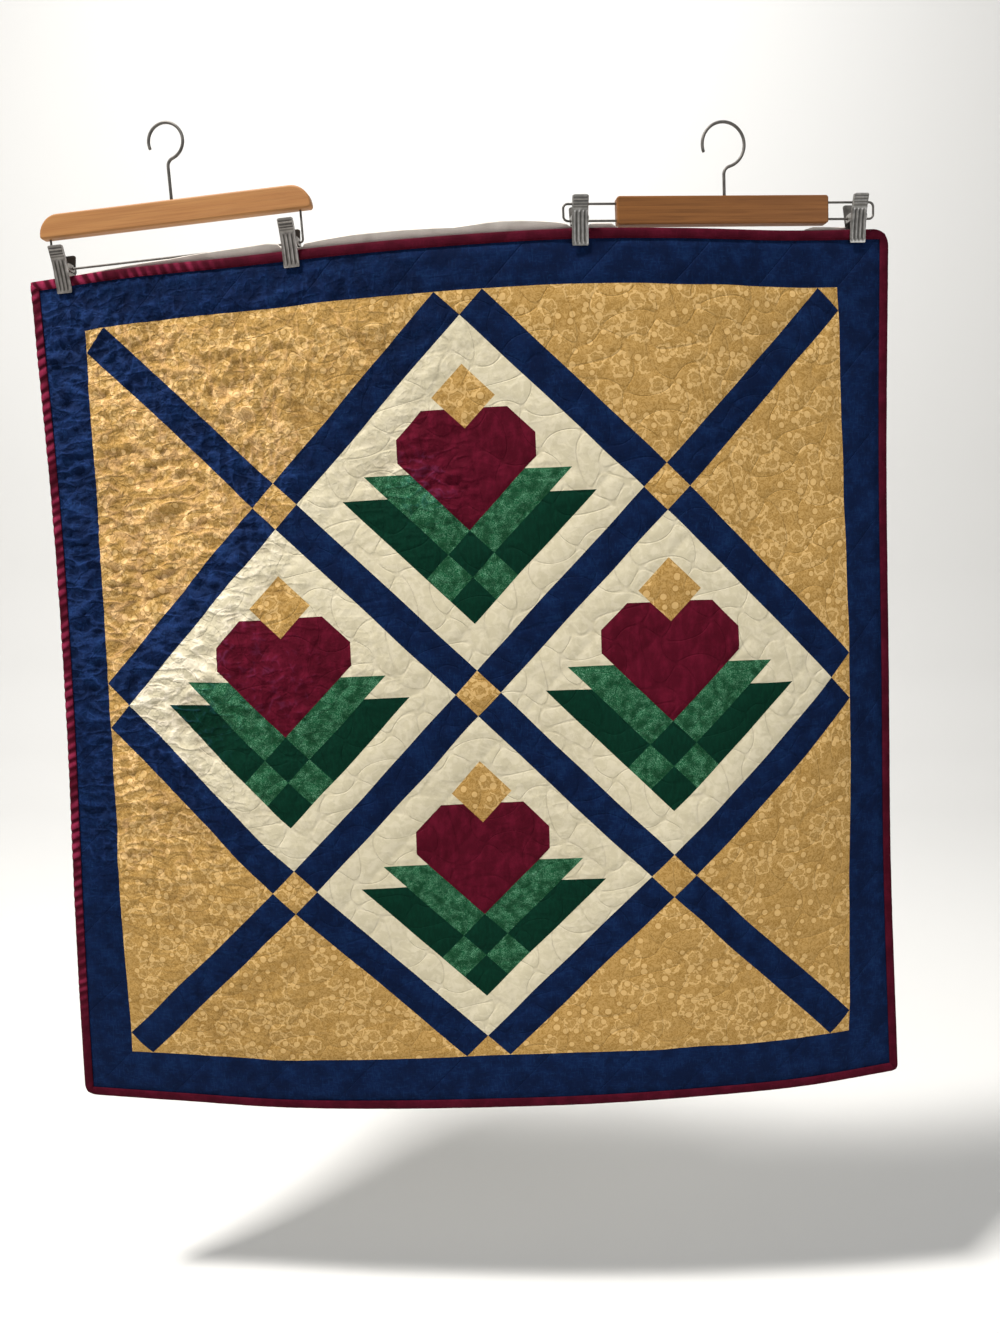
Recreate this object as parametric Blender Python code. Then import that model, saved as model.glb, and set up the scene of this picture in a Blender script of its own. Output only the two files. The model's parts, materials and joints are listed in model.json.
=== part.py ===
"""Patchwork wall quilt pinched at its top edge by two clip hangers, in the shape in which it hangs.

Metres, +Z up, the quilt's face looks along -Y. The origin is midway between the two hooks, at the
height where they bear on whatever holds them. Flat sizes on the quilt are called u (to the right)
and v (upward), measured from its middle before it is hung.
"""
import math
from collections import namedtuple

import bmesh
import bpy
from mathutils import Matrix, Vector

# ---- the pieced top ----
LATTICE = 0.3175                      # one block and one sash strip, square to the seams
CELL = LATTICE / math.sqrt(2) / 8.5   # half the diagonal of a cornerstone square
FIELD_CELLS = 17                      # half width of the pieced field, in cells
FIELD = FIELD_CELLS * CELL
BORDER = 0.047                        # border strip that shows
BINDING_WIDTH = 0.0115                # binding that shows on the face
HALF = FIELD + BORDER + BINDING_WIDTH
BLOCK_SEAMS = (2, 4, 6, 13)           # seams inside a 15-cell block, from its lowest corner
MARGIN_CELLS = 2                      # plain strip around the pieced motif of a block

# ---- thickness, from the middle of the cloth outward ----
GAP = 0.0003
SEAM_HALF = 0.0013                    # where it is stitched down
PUFF_FACE = 0.0026                    # extra loft between the stitching, face side
PUFF_BACK = 0.0009
CLOTH = 0.0012                        # binding fabric, doubled
BINDING_HALF = SEAM_HALF + GAP + CLOTH
EDGE = HALF - CLOTH - GAP             # where the quilted layers end, inside the binding
PINCH_REACH = 0.030                   # how far a clip's jaws flatten the loft around them

# ---- how it hangs: a row for each upright section, millimetres ----
# across: place between the left (-1) and right (1) edge. side: drawn sideways, at top, middle and hem.
# lift: raised, at top and hem. back: distance behind the hanging plane, from top to hem.
TURN = math.radians(2.1)              # the right side hangs higher
MIDDLE = Vector((0.0388, -0.0129, -0.6378))
Section = namedtuple("Section", "across side_top side_middle side_hem lift_top lift_hem "
                                "back_top back_upper back_middle back_lower back_hem")
SECTIONS = [
    Section(-1.00, 11, 17, 1, -16, 22, 36, 34, 24, 19, 27),
    Section(-0.75, 2, 9, 0, -8, 12, 22, 24, 11, 9, 20),
    Section(-0.50, -2, 1, -2, -5, 4, 7, 10, -6, -6, 11),
    Section(-0.25, -5, 1, -4, 0, 1, -6, 2, -5, -2, 5),
    Section(0.00, -5, 0, -4, 3, 1, -16, -6, 0, 6, 0),
    Section(0.25, -4, 0, -3, 5, 1, -17, -11, -2, 5, 0),
    Section(0.50, -6, 1, -2, 4, 3, -7, -6, -7, -1, 5),
    Section(0.75, -14, -4, -3, 3, 7, 13, 16, 5, 11, 13),
    Section(1.00, -22, -18, -7, 4, 17, 25, 33, 31, 35, 26),
]
CORNER_ROUND = {(-1, 1): 0.004, (1, 1): 0.019, (1, -1): 0.009, (-1, -1): 0.015}

# ---- hanging sleeve: a row for each place along the top edge, millimetres ----
Lip = namedtuple("Lip", "place rise")  # how far the sleeve's fold stands above the quilt's edge
SLEEVE_LIPS = [
    Lip(-448, 2), Lip(-400, 3), Lip(-330, 5), Lip(-270, 9), Lip(-211, 11), Lip(-199, 8.5), Lip(-195, 3.2),
    Lip(-172, 3.2), Lip(-168, 6), Lip(-150, 7.5), Lip(-110, 10), Lip(-55, 10), Lip(0, 8), Lip(50, 12),
    Lip(85, 10), Lip(112, 7), Lip(122, 5.2), Lip(125.2, 3), Lip(145.8, 3), Lip(149, 5.2), Lip(172, 5),
    Lip(176, 3), Lip(179, 2), Lip(184, -2), Lip(240, -3), Lip(330, -3), Lip(398, -2), Lip(406, 2), Lip(416, 4),
    Lip(455, 3.5),
]
SLEEVE_STATION = 35                   # longest straight run along it, millimetres
SLEEVE_DROP = 0.100                   # how far down the back it reaches
SLEEVE_WAIST = 0.045                  # a level between the two where its walls bend with the cloth
SLEEVE_CLOTH = 0.0010
SLEEVE_SPACE = 0.0007                 # between its two flattened walls
SLEEVE_TIP = 0.0046                   # how far forward a high fold tips over the edge

# ---- hangers, in each hanger's own frame: x along, y to the back, z up from the feet of its clips ----
WIRE_DEPTH = 0.003                    # the wires run this far behind the cloth's middle
WIRE = 0.00125
HOOK_WIRE = 0.0017
DRILL_CLEARANCE = 0.0003
DRILL_DEPTH = 0.010
Bar = namedtuple("Bar", "left right under top thick ease shoulder")
LEFT_BAR = Bar(-0.1581, 0.1617, 0.0625, 0.0890, 0.012, 0.0022, 0.023)
RIGHT_BAR = Bar(-0.1165, 0.1260, 0.0222, 0.0525, 0.013, 0.0015, 0.0032)
Hook = namedtuple("Hook", "along shank bow")
LEFT_HOOK = Hook(0.0005, 0.037, 0.020)
RIGHT_HOOK = Hook(0.0072, 0.024, 0.024)
HOOK_BEND = 0.009                     # the small bend between shank and bow
HOOK_END = math.radians(200)          # the bow runs on to a little below its middle
RAIL_PAST_CLIP = 0.0135
RAIL_BEND = 0.0035
LOOP_UPPER = 0.0460                   # height of a loop's upper wire; its lower one is the clip's hinge
LOOP_TIPS = {"left": -0.1755, "right": 0.1815}
LOOP_BEND = 0.005

# ---- clips ----
CLIP_HEIGHT = 0.050
CLIP_WIDTH = 0.018
CLIP_BACK_WIDTH = 0.015
CLIP_PLATE = 0.0011
CLIP_RIBS = 4
RIB_RAISE = 0.0007
HINGE_HEIGHT = 0.028
JAW = 0.006                           # height over which the two plates lie on the cloth
CLIP_FRONT = [(-0.0058, 0.020), (-0.0085, 0.032), (-0.0115, 0.041), (-0.0150, CLIP_HEIGHT)]  # depth, height
CLIP_BACK = [(0.0100, 0.020), (0.0125, 0.032), (0.0160, 0.047)]
EAR = 0.0010                          # thickness of the hinge ears
EAR_BOSS = 0.0042
EAR_REACH = {"front": -0.0075, "back": 0.0065}
PIN_CLEARANCE = 0.0006
SPRING = 0.0033                       # radius of the wound spring on the wire
SPRING_INSET = 0.0030                 # its ends stand this far inside the clip's sides
Clip = namedtuple("Clip", "name place bite")
LEFT_CLIPS = (Clip("clip_1", -0.4620, 0.0195), Clip("clip_2", -0.1835, 0.0195))
RIGHT_CLIPS = (Clip("clip_3", 0.1355, 0.0195), Clip("clip_4", 0.4670, 0.0155))

COLOURS = {  # colour, roughness, metallic
    "quilt_cotton": ((0.012, 0.020, 0.070), 0.85, 0.0),
    "binding_cotton": ((0.11, 0.006, 0.018), 0.80, 0.0),
    "sleeve_muslin": ((0.78, 0.72, 0.68), 0.90, 0.0),
    "light_wood": ((0.52, 0.27, 0.11), 0.45, 0.0),
    "dark_wood": ((0.24, 0.09, 0.03), 0.40, 0.0),
    "nickel_steel": ((0.62, 0.61, 0.58), 0.32, 1.0),
}


# ------------------------------------------------------------------ cloth shape

def smooth(places, values, t):
    """Value at t of a smooth line through values at places, which are evenly spread."""
    last = len(places) - 1
    i = max(0, min(sum(place <= t for place in places) - 1, last - 1))
    f = (t - places[i]) / (places[i + 1] - places[i])
    b, c = values[i], values[i + 1]
    a = values[i - 1] if i > 0 else 2 * b - c
    d = values[i + 2] if i + 2 <= last else 2 * c - b
    squared, cubed = a - 2.5 * b + 2 * c - d / 2, 1.5 * (b - c) + (d - a) / 2
    return b + f * (c - a) / 2 + f ** 2 * squared + f ** 3 * cubed


def between(rows, u):
    """Rise of the sleeve's fold at u, on straight runs between the rows."""
    for low, high in zip(rows, rows[1:]):
        if u <= high.place / 1000:
            share = (u * 1000 - low.place) / (high.place - low.place)
            return (low.rise + share * (high.rise - low.rise)) / 1000
    return rows[-1].rise / 1000


def soften(u, v):
    """Rounds the quilt's four corners a little, as wear and a turned binding do."""
    side_u, side_v = (1 if u >= 0 else -1), (1 if v >= 0 else -1)
    reach = CORNER_ROUND[(side_u, side_v)]
    s = (abs(u) - (HALF - reach)) / reach
    t = (abs(v) - (HALF - reach)) / reach
    if s <= 0 or t <= 0:
        return u, v
    round_s = s * math.sqrt(max(0.0, 1 - t * t / 2))
    round_t = t * math.sqrt(max(0.0, 1 - s * s / 2))
    return side_u * (HALF - reach + round_s * reach), side_v * (HALF - reach + round_t * reach)


def hang(u, v):
    """Where the middle of the cloth hangs."""
    u, v = soften(u, v)
    across, up = u / HALF, v / HALF
    places = [row.across for row in SECTIONS]

    def at(*names):
        levels = [2 * k / (len(names) - 1) - 1 for k in range(len(names))]
        values = [smooth(places, [getattr(row, name) for row in SECTIONS], across) for name in names]
        return smooth(levels, values, up) / 1000

    x = u + at("side_hem", "side_middle", "side_top")
    z = v + at("lift_hem", "lift_top")
    y = at("back_hem", "back_lower", "back_middle", "back_upper", "back_top")
    turned = Vector((x * math.cos(TURN) - z * math.sin(TURN), y, x * math.sin(TURN) + z * math.cos(TURN)))
    return MIDDLE + turned


def facing(u, v):
    """Unit direction out of the quilt's face."""
    step = 0.004
    along = hang(u + step, v) - hang(u - step, v)
    upward = hang(u, v + step) - hang(u, v - step)
    return along.cross(upward).normalized()


def on_cloth(u, v, out):
    """Point at height out over the middle of the cloth, negative towards its back."""
    return hang(u, v) + facing(min(max(u, -EDGE), EDGE), min(max(v, -EDGE), EDGE)) * out


def seam_distance(u, v):
    """Cells from the nearest seam of the pieced top, measured along u or v."""
    edge = (FIELD - max(abs(u), abs(v))) / CELL
    if edge < 0:
        return -edge
    p, q = (u + v) / CELL, (u - v) / CELL
    lines = [abs(abs(p) - 1), abs(abs(q) - 1)]
    if abs(q) < 18:
        lines += [abs(abs(p) - 16), abs(abs(p) - 18)]
    if abs(p) < 18:
        lines += [abs(abs(q) - 16), abs(abs(q) - 18)]
    if 1 < abs(p) < 16 and 1 < abs(q) < 16:
        right, left = (p - 1) % 17, (-1 - q) % 17
        inside = min(right, left) >= MARGIN_CELLS and max(right, left) <= 13
        for seam in BLOCK_SEAMS if inside else (MARGIN_CELLS, 13):
            lines += [abs(right - seam), abs(left - seam)]
    return min(lines + [edge])


def pinched(u, v):
    """0 between a clip's jaws, rising to 1 where the loft is free."""
    free = 1.0
    for clip in LEFT_CLIPS + RIGHT_CLIPS:
        away = math.hypot(u - clip.place, v - HALF)
        free = min(free, max(0.0, (away - CLIP_WIDTH) / PINCH_REACH))
    return min(1.0, free)


def loft(u, v):
    """Share of the full puff, 0 on the stitching and 1 in the middle of a patch."""
    out = max(abs(u), abs(v))
    if out > EDGE - BINDING_WIDTH:
        return 0.0
    uneven = 0.12 * math.sin(61 * u + 2.0 * math.sin(37 * v)) + 0.10 * math.sin(83 * v + 47 * u)
    if out > FIELD + 0.001:
        slant = abs(math.sin(math.pi * (u + v) / (3 * CELL)))
        share = 0.35 + 0.35 * slant + uneven
    else:
        share = 1 - math.exp(-1.1 * max(0.0, seam_distance(u, v)))
        share += uneven * share
    return max(0.0, share) * pinched(u, v)


# ------------------------------------------------------------------ scene helpers

for old in list(bpy.data.objects):
    bpy.data.objects.remove(old, do_unlink=True)
parts = bpy.data.collections.new("wall_quilt")
cutters = bpy.data.collections.new("cutters")
for group in (parts, cutters):
    bpy.context.scene.collection.children.link(group)


def finish(name):
    """The material of one finish, made once."""
    found = bpy.data.materials.get(name)
    if found:
        return found
    colour, roughness, metallic = COLOURS[name]
    made = bpy.data.materials.new(name)
    made.use_nodes = True
    shader = made.node_tree.nodes["Principled BSDF"]
    shader.inputs["Base Color"].default_value = (*colour, 1)
    shader.inputs["Roughness"].default_value = roughness
    shader.inputs["Metallic"].default_value = metallic
    return made


def add_part(name, data, material, place=Matrix.Identity(4)):
    piece = bpy.data.objects.new(name, data)
    piece.matrix_world = place
    data.materials.append(finish(material))
    parts.objects.link(piece)
    return piece


def mesh_from(bm, name):
    bmesh.ops.recalc_face_normals(bm, faces=bm.faces)
    if bm.calc_volume(signed=True) < 0:
        bmesh.ops.reverse_faces(bm, faces=bm.faces)
    mesh = bpy.data.meshes.new(name)
    bm.to_mesh(mesh)
    bm.free()
    return mesh


def ring(name, around, along, point):
    """A closed skin on a grid that meets itself both ways: point(i, j) places each corner."""
    bm = bmesh.new()
    bmesh.ops.create_grid(bm, x_segments=around, y_segments=along, size=0.5)
    for vertex in bm.verts:
        i = round((vertex.co.x + 0.5) * around) % around
        j = round((vertex.co.y + 0.5) * along) % along
        vertex.co = point(i, j)
    bmesh.ops.remove_doubles(bm, verts=bm.verts, dist=0.00001)
    return mesh_from(bm, name)


def round_corners(corners, radius, closed, step=0.0022):
    """A path through corners with each bend turned to radius."""
    path = []
    count = len(corners)
    for i, corner in enumerate(corners):
        here = Vector(corner)
        if not closed and i in (0, count - 1):
            path.append(here)
            continue
        before = (Vector(corners[i - 1]) - here).normalized()
        after = (Vector(corners[(i + 1) % count]) - here).normalized()
        size = radius[i] if isinstance(radius, (list, tuple)) else radius
        half = before.angle(after) / 2
        reach = size / math.tan(half)
        centre = here + (before + after).normalized() * (size / math.sin(half))
        start = (here + before * reach - centre).normalized()
        end = (here + after * reach - centre).normalized()
        steps = max(2, round(size * start.angle(end) / step))
        path += [centre + size * start.slerp(end, k / steps) for k in range(steps + 1)]
    return path


def wire(name, path, radius, frame, depth=WIRE_DEPTH):
    """A round wire along (along, up) points in a hanger's own plane."""
    curve = bpy.data.curves.new(name, "CURVE")
    curve.dimensions = "3D"
    curve.bevel_depth = radius
    curve.bevel_resolution = 2
    curve.use_fill_caps = True
    spline = curve.splines.new("POLY")
    spline.points.add(len(path) - 1)
    for point, (along, up) in zip(spline.points, path):
        point.co = (along, depth, up, 1)
    return add_part(name, curve, "nickel_steel", frame)


def board(name, bar, foot_radius, material, frame, drills):
    """A flat wooden bar with eased edges and round shoulders, drilled for its wires."""
    corners = [(bar.left, bar.under), (bar.right, bar.under), (bar.right, bar.top), (bar.left, bar.top)]
    outline = round_corners(corners, [foot_radius, foot_radius, bar.shoulder, bar.shoulder], True, 0.004)
    curve = bpy.data.curves.new(name + "_outline", "CURVE")
    curve.dimensions = "2D"
    curve.fill_mode = "BOTH"
    curve.extrude = bar.thick / 2 - bar.ease
    curve.bevel_depth = bar.ease
    curve.bevel_resolution = 1
    spline = curve.splines.new("POLY")
    spline.use_cyclic_u = True
    spline.points.add(len(outline) - 1)
    for point, (along, up) in zip(spline.points, outline):
        point.co = (along, up, 0, 1)
    blank = bpy.data.objects.new(name + "_blank", curve)
    cutters.objects.link(blank)
    mesh = bpy.data.meshes.new_from_object(blank.evaluated_get(bpy.context.evaluated_depsgraph_get()))
    bpy.data.objects.remove(blank)
    bm = bmesh.new()
    bm.from_mesh(mesh)
    bmesh.ops.remove_doubles(bm, verts=bm.verts, dist=0.00002)
    stand = Matrix.Translation((0, WIRE_DEPTH, 0)) @ Matrix.Rotation(math.pi / 2, 4, "X")
    bmesh.ops.transform(bm, matrix=stand, verts=bm.verts)
    wood = add_part(name, mesh_from(bm, name), material, frame)
    for number, (along, up, turn, radius) in enumerate(drills):
        bm = bmesh.new()
        bmesh.ops.create_cone(bm, cap_ends=True, segments=16, radius1=radius + DRILL_CLEARANCE,
                              radius2=radius + DRILL_CLEARANCE, depth=2 * DRILL_DEPTH)
        place = Matrix.Translation((along, WIRE_DEPTH, up)) @ Matrix.Rotation(turn, 4, "Y")
        bmesh.ops.transform(bm, matrix=place, verts=bm.verts)
        drill = bpy.data.objects.new(f"{name}_drill_{number}", mesh_from(bm, "drill"))
        drill.matrix_world = frame
        drill.hide_render = True
        drill.display_type = "WIRE"
        cutters.objects.link(drill)
        cut = wood.modifiers.new(f"drill_{number}", "BOOLEAN")
        cut.operation = "DIFFERENCE"
        cut.object = drill


# ------------------------------------------------------------------ quilt

def grid_lines():
    """Flat places of the quilt's rows and columns: cells in the field, then the border and the edge."""
    outer = [FIELD + 0.022, EDGE - BINDING_WIDTH + 0.0005, EDGE]
    field = [k * CELL for k in range(-FIELD_CELLS, FIELD_CELLS + 1)]
    return [-line for line in reversed(outer)] + field + outer


def build_quilt():
    """Top, wadding and backing quilted together: one body, low on each seam and puffed between them."""
    lines = grid_lines()
    cells = len(lines) - 1
    bm = bmesh.new()
    bmesh.ops.create_grid(bm, x_segments=cells, y_segments=cells, size=cells / 2)
    bmesh.ops.translate(bm, vec=(cells / 2, cells / 2, 0), verts=bm.verts)
    crossed = []
    for face in list(bm.faces):
        centre = face.calc_center_median()
        i, j = math.floor(centre.x), math.floor(centre.y)
        corner = {(round(v.co.x) - i, round(v.co.y) - j): v for v in face.verts}
        middle_u = (lines[i] + lines[i + 1]) / 2
        middle_v = (lines[j] + lines[j + 1]) / 2
        falling = seam_distance(middle_u + CELL / 4, middle_v - CELL / 4)
        rising = seam_distance(middle_u + CELL / 4, middle_v + CELL / 4)
        if falling < 0.01 and rising < 0.01:
            crossed.append(face)
        elif falling < rising:
            bmesh.utils.face_split(face, corner[(0, 1)], corner[(1, 0)])
        else:
            bmesh.utils.face_split(face, corner[(0, 0)], corner[(1, 1)])
    bmesh.ops.poke(bm, faces=crossed)
    bmesh.ops.solidify(bm, geom=bm.faces[:], thickness=1.0)
    heights = [v.co.z for v in bm.verts]
    level = (min(heights) + max(heights)) / 2
    for vertex in bm.verts:
        i, j = min(int(vertex.co.x + 1e-4), cells - 1), min(int(vertex.co.y + 1e-4), cells - 1)
        u = lines[i] + (vertex.co.x - i) * (lines[i + 1] - lines[i])
        v = lines[j] + (vertex.co.y - j) * (lines[j + 1] - lines[j])
        if vertex.co.z > level:
            vertex.co = on_cloth(u, v, SEAM_HALF + PUFF_FACE * loft(u, v))
        else:
            vertex.co = on_cloth(u, v, -SEAM_HALF - PUFF_BACK * loft(u, v))
    return add_part("quilt", mesh_from(bm, "quilt"), "quilt_cotton")


def build_binding():
    """One doubled strip folded over the edge all round, mitred at the corners."""
    lines = grid_lines()[1:-1]
    stations = []                     # outer point and the way in, going round from the lower left
    for turn in range(4):
        quarter = Matrix.Rotation(turn * math.pi / 2, 2)
        stations.append((quarter @ Vector((-HALF, -HALF)), quarter @ Vector((1, 1))))
        stations += [(quarter @ Vector((line, -HALF)), quarter @ Vector((0, 1))) for line in lines]
    ease = 0.0008
    wall = BINDING_HALF - CLOTH
    section = [(ease, BINDING_HALF), (BINDING_WIDTH, BINDING_HALF), (BINDING_WIDTH, wall), (CLOTH, wall),
               (CLOTH, -wall), (BINDING_WIDTH, -wall), (BINDING_WIDTH, -BINDING_HALF), (ease, -BINDING_HALF),
               (0, -BINDING_HALF + ease), (0, BINDING_HALF - ease)]

    def point(i, j):
        outer, inward = stations[i]
        deep, out = section[j]
        flat = outer + inward * deep
        return on_cloth(flat.x, flat.y, out)

    return add_part("binding", ring("binding", len(stations), len(section), point), "binding_cotton")


def sleeve_layers(u):
    """(v, out) along the middle of the sleeve's wall: down the inner one, then up the outer one."""
    rise = between(SLEEVE_LIPS, u)
    inner = BINDING_HALF + GAP + SLEEVE_CLOTH / 2
    outer = inner + SLEEVE_CLOTH + SLEEVE_SPACE
    low, waist, top = HALF - SLEEVE_DROP, HALF - SLEEVE_WAIST, HALF + rise
    shoulder = HALF + min(0.0010, rise - 0.0030)                  # straight up to here, then tipping
    stand = top - shoulder
    tip = SLEEVE_TIP * max(0.0, min(1.0, (rise - 0.002) / 0.004))
    fold = SLEEVE_CLOTH * 0.8
    return [(top - fold, tip - inner), (shoulder + 0.45 * stand, 0.45 * tip - inner), (shoulder, -inner),
            (waist, -inner), (low, -inner), (low, -outer), (waist, -outer), (shoulder, -outer),
            (shoulder + 0.50 * stand, 0.45 * tip - outer), (top, tip - outer)]


def build_sleeve():
    """A flattened empty tube of muslin behind the top edge, its fold standing a little above it."""
    places = [SLEEVE_LIPS[0].place / 1000]
    for low, high in zip(SLEEVE_LIPS, SLEEVE_LIPS[1:]):
        runs = math.ceil((high.place - low.place) / SLEEVE_STATION)
        step = (high.place - low.place) / runs
        places += [(low.place + step * k) / 1000 for k in range(1, runs + 1)]
    stations = len(places)
    count = len(sleeve_layers(places[0]))

    folds = (0, count // 2 - 1, count // 2, count - 1)

    def wall_point(k, station, side):
        u = places[station]
        layers = [Vector(p) for p in sleeve_layers(u)]
        before, here, after = layers[k - 1], layers[k], layers[(k + 1) % count]
        run = (here - before).normalized() + (after - here).normalized()
        if k in folds:
            run = after - before
        out = Vector((run.y, -run.x)).normalized()
        at = here + out * side * SLEEVE_CLOTH / 2
        return on_cloth(u, at.x, at.y)

    def point(i, j):
        if j < stations:
            return wall_point(i, j, 1)
        return wall_point(i, 2 * stations - 1 - j, -1)

    return add_part("hanging_sleeve", ring("sleeve", count, 2 * stations, point), "sleeve_muslin")


# ------------------------------------------------------------------ hangers

def hanger_frame(clips):
    """Frame midway between the feet of a hanger's two clips."""
    feet = [hang(clip.place, HALF - clip.bite) for clip in clips]
    along = (feet[1] - feet[0]).normalized()
    back = Vector((0, 0, 1)).cross(along).normalized()
    up = along.cross(back)
    frame = Matrix((along, back, up)).transposed().to_4x4()
    frame.translation = (feet[0] + feet[1]) / 2
    return frame, (feet[1] - feet[0]).length / 2


def jaws(clip, frame):
    """How far in front of and behind the hanger's plane the cloth between a clip's jaws reaches."""
    front = back = 0.0
    into = frame.inverted()
    for i in range(-2, 3):
        u = clip.place + i * CLIP_WIDTH / 4
        covered = SLEEVE_LIPS[0].place / 1000 <= u <= SLEEVE_LIPS[-1].place / 1000
        behind = BINDING_HALF + covered * (GAP + 2 * SLEEVE_CLOTH + SLEEVE_SPACE)
        for j in range(5):
            v = HALF - clip.bite * j / 4
            front = min(front, (into @ on_cloth(u, v, BINDING_HALF)).y)
            back = max(back, (into @ on_cloth(u, v, -behind)).y)
    return front - GAP, back + GAP


def plate(name, width, profile, ribs, side):
    """A pressed plate following profile, (depth, up) points of its inner face; side is -1 in front."""
    columns = max(2, 2 * ribs)
    rows = len(profile) - 1
    bm = bmesh.new()
    bmesh.ops.create_grid(bm, x_segments=columns, y_segments=rows, size=0.5)
    bmesh.ops.solidify(bm, geom=bm.faces[:], thickness=1.0)
    level = sum(v.co.z for v in bm.verts) / len(bm.verts)
    for vertex in bm.verts:
        i = round((vertex.co.x + 0.5) * columns)
        j = round((vertex.co.y + 0.5) * rows)
        depth, up = profile[j]
        if vertex.co.z > level:
            raised = RIB_RAISE * (i % 2) if ribs and 0 < j < rows - 1 else 0.0
            depth += side * (CLIP_PLATE + raised)
        vertex.co = Vector((vertex.co.x * width, depth, up))
    return mesh_from(bm, name)


def with_ears(name, plate_mesh, half_width, reach, place):
    """Joins two hinge ears to a plate and drills both for the wire."""
    body = add_part(name, plate_mesh, "nickel_steel", place)
    for side in (-1, 1):
        bm = bmesh.new()
        bmesh.ops.create_cone(bm, cap_ends=True, segments=12, radius1=EAR_BOSS, radius2=EAR_BOSS, depth=EAR)
        across = Matrix.Rotation(math.pi / 2, 4, "Y")
        bmesh.ops.transform(bm, matrix=across, verts=bm.verts)
        far = [v for v in bm.verts if (v.co.y > 0.0001) == (reach > 0) and abs(v.co.y) > 0.0001]
        bmesh.ops.translate(bm, vec=(0, reach, 0), verts=far)
        bmesh.ops.translate(bm, vec=(side * (half_width - EAR / 2), WIRE_DEPTH, HINGE_HEIGHT), verts=bm.verts)
        join_tool(body, mesh_from(bm, "ear"), f"ear_{side}", "UNION", place)
    bm = bmesh.new()
    hole = WIRE + PIN_CLEARANCE
    bmesh.ops.create_cone(bm, cap_ends=True, segments=12, radius1=hole, radius2=hole, depth=2 * CLIP_WIDTH)
    bmesh.ops.transform(bm, matrix=Matrix.Translation((0, WIRE_DEPTH, HINGE_HEIGHT)) @ across, verts=bm.verts)
    join_tool(body, mesh_from(bm, "bore"), "bore", "DIFFERENCE", place)


def join_tool(body, mesh, name, operation, place):
    tool = bpy.data.objects.new(f"{body.name}_{name}", mesh)
    tool.matrix_world = place
    tool.hide_render = True
    tool.display_type = "WIRE"
    cutters.objects.link(tool)
    step = body.modifiers.new(name, "BOOLEAN")
    step.operation = operation
    step.object = tool


def build_clip(clip, frame, along):
    """Two pressed plates on the hanger's wire, with a torsion spring between their ears."""
    place = frame @ Matrix.Translation((along, 0, 0))
    front, back = jaws(clip, frame)
    front_line = [(front, 0), (front, JAW)] + CLIP_FRONT
    back_line = [(back, 0), (back, JAW)] + CLIP_BACK
    front_plate = plate(clip.name + "_front", CLIP_WIDTH, front_line, CLIP_RIBS, -1)
    with_ears(clip.name + "_front", front_plate, CLIP_WIDTH / 2, EAR_REACH["front"], place)
    back_plate = plate(clip.name + "_back", CLIP_BACK_WIDTH, back_line, 0, 1)
    with_ears(clip.name + "_back", back_plate, CLIP_BACK_WIDTH / 2, EAR_REACH["back"], place)
    spring_half = CLIP_WIDTH / 2 - SPRING_INSET
    bore = WIRE + PIN_CLEARANCE
    ends = [(-spring_half, SPRING), (spring_half, SPRING), (spring_half, bore), (-spring_half, bore)]
    sides = 12

    def point(i, j):
        angle = 2 * math.pi * i / sides
        x, radius = ends[j]
        return Vector((x, WIRE_DEPTH + radius * math.cos(angle), HINGE_HEIGHT + radius * math.sin(angle)))

    name = clip.name + "_spring"
    add_part(name, ring(name, sides, len(ends), point), "nickel_steel", place)


def build_hook(name, frame, hook, top):
    """A question-mark hook standing in the bar, bowed to the right and open to the left."""
    foot = top - DRILL_DEPTH + GAP
    shank_top = top + hook.shank
    rise = math.sqrt((hook.bow + HOOK_BEND) ** 2 - HOOK_BEND ** 2)
    join = math.atan2(rise, -HOOK_BEND)                  # where the small bend hands over to the bow
    path = [(hook.along, foot), (hook.along, top + hook.shank / 2)]

    def arc(along, up, radius, start, end, steps, first):
        for k in range(first, steps + 1):
            angle = start + (end - start) * k / steps
            path.append((along + radius * math.cos(angle), up + radius * math.sin(angle)))

    arc(hook.along + HOOK_BEND, shank_top, HOOK_BEND, math.pi, join, 5, 0)
    start = join - math.pi
    steps = round((HOOK_END - start) * hook.bow / 0.006)
    arc(hook.along, shank_top + rise, hook.bow, start, HOOK_END, steps, 1)
    wire(name, path, HOOK_WIRE, frame)


def build_left_hanger():
    """A flat bar with round shoulders, a hook, and a bent rail under it that carries two clips."""
    frame, half = hanger_frame(LEFT_CLIPS)
    bar, hook = LEFT_BAR, LEFT_HOOK
    rail_left, rail_right = -half - RAIL_PAST_CLIP, half + RAIL_PAST_CLIP
    drills = [(hook.along, bar.top, 0, HOOK_WIRE)]
    drills += [(end, bar.under, 0, WIRE) for end in (rail_left, rail_right)]
    board("left_hanger_bar", bar, RAIL_BEND, "light_wood", frame, drills)
    build_hook("left_hanger_hook", frame, hook, bar.top)
    into = bar.under + DRILL_DEPTH - GAP
    rail = round_corners([(rail_left, into), (rail_left, HINGE_HEIGHT), (rail_right, HINGE_HEIGHT),
                          (rail_right, into)], RAIL_BEND, False)
    wire("left_hanger_rail", rail, WIRE, frame)
    for clip, side in zip(LEFT_CLIPS, (-1, 1)):
        build_clip(clip, frame, side * half)


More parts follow.
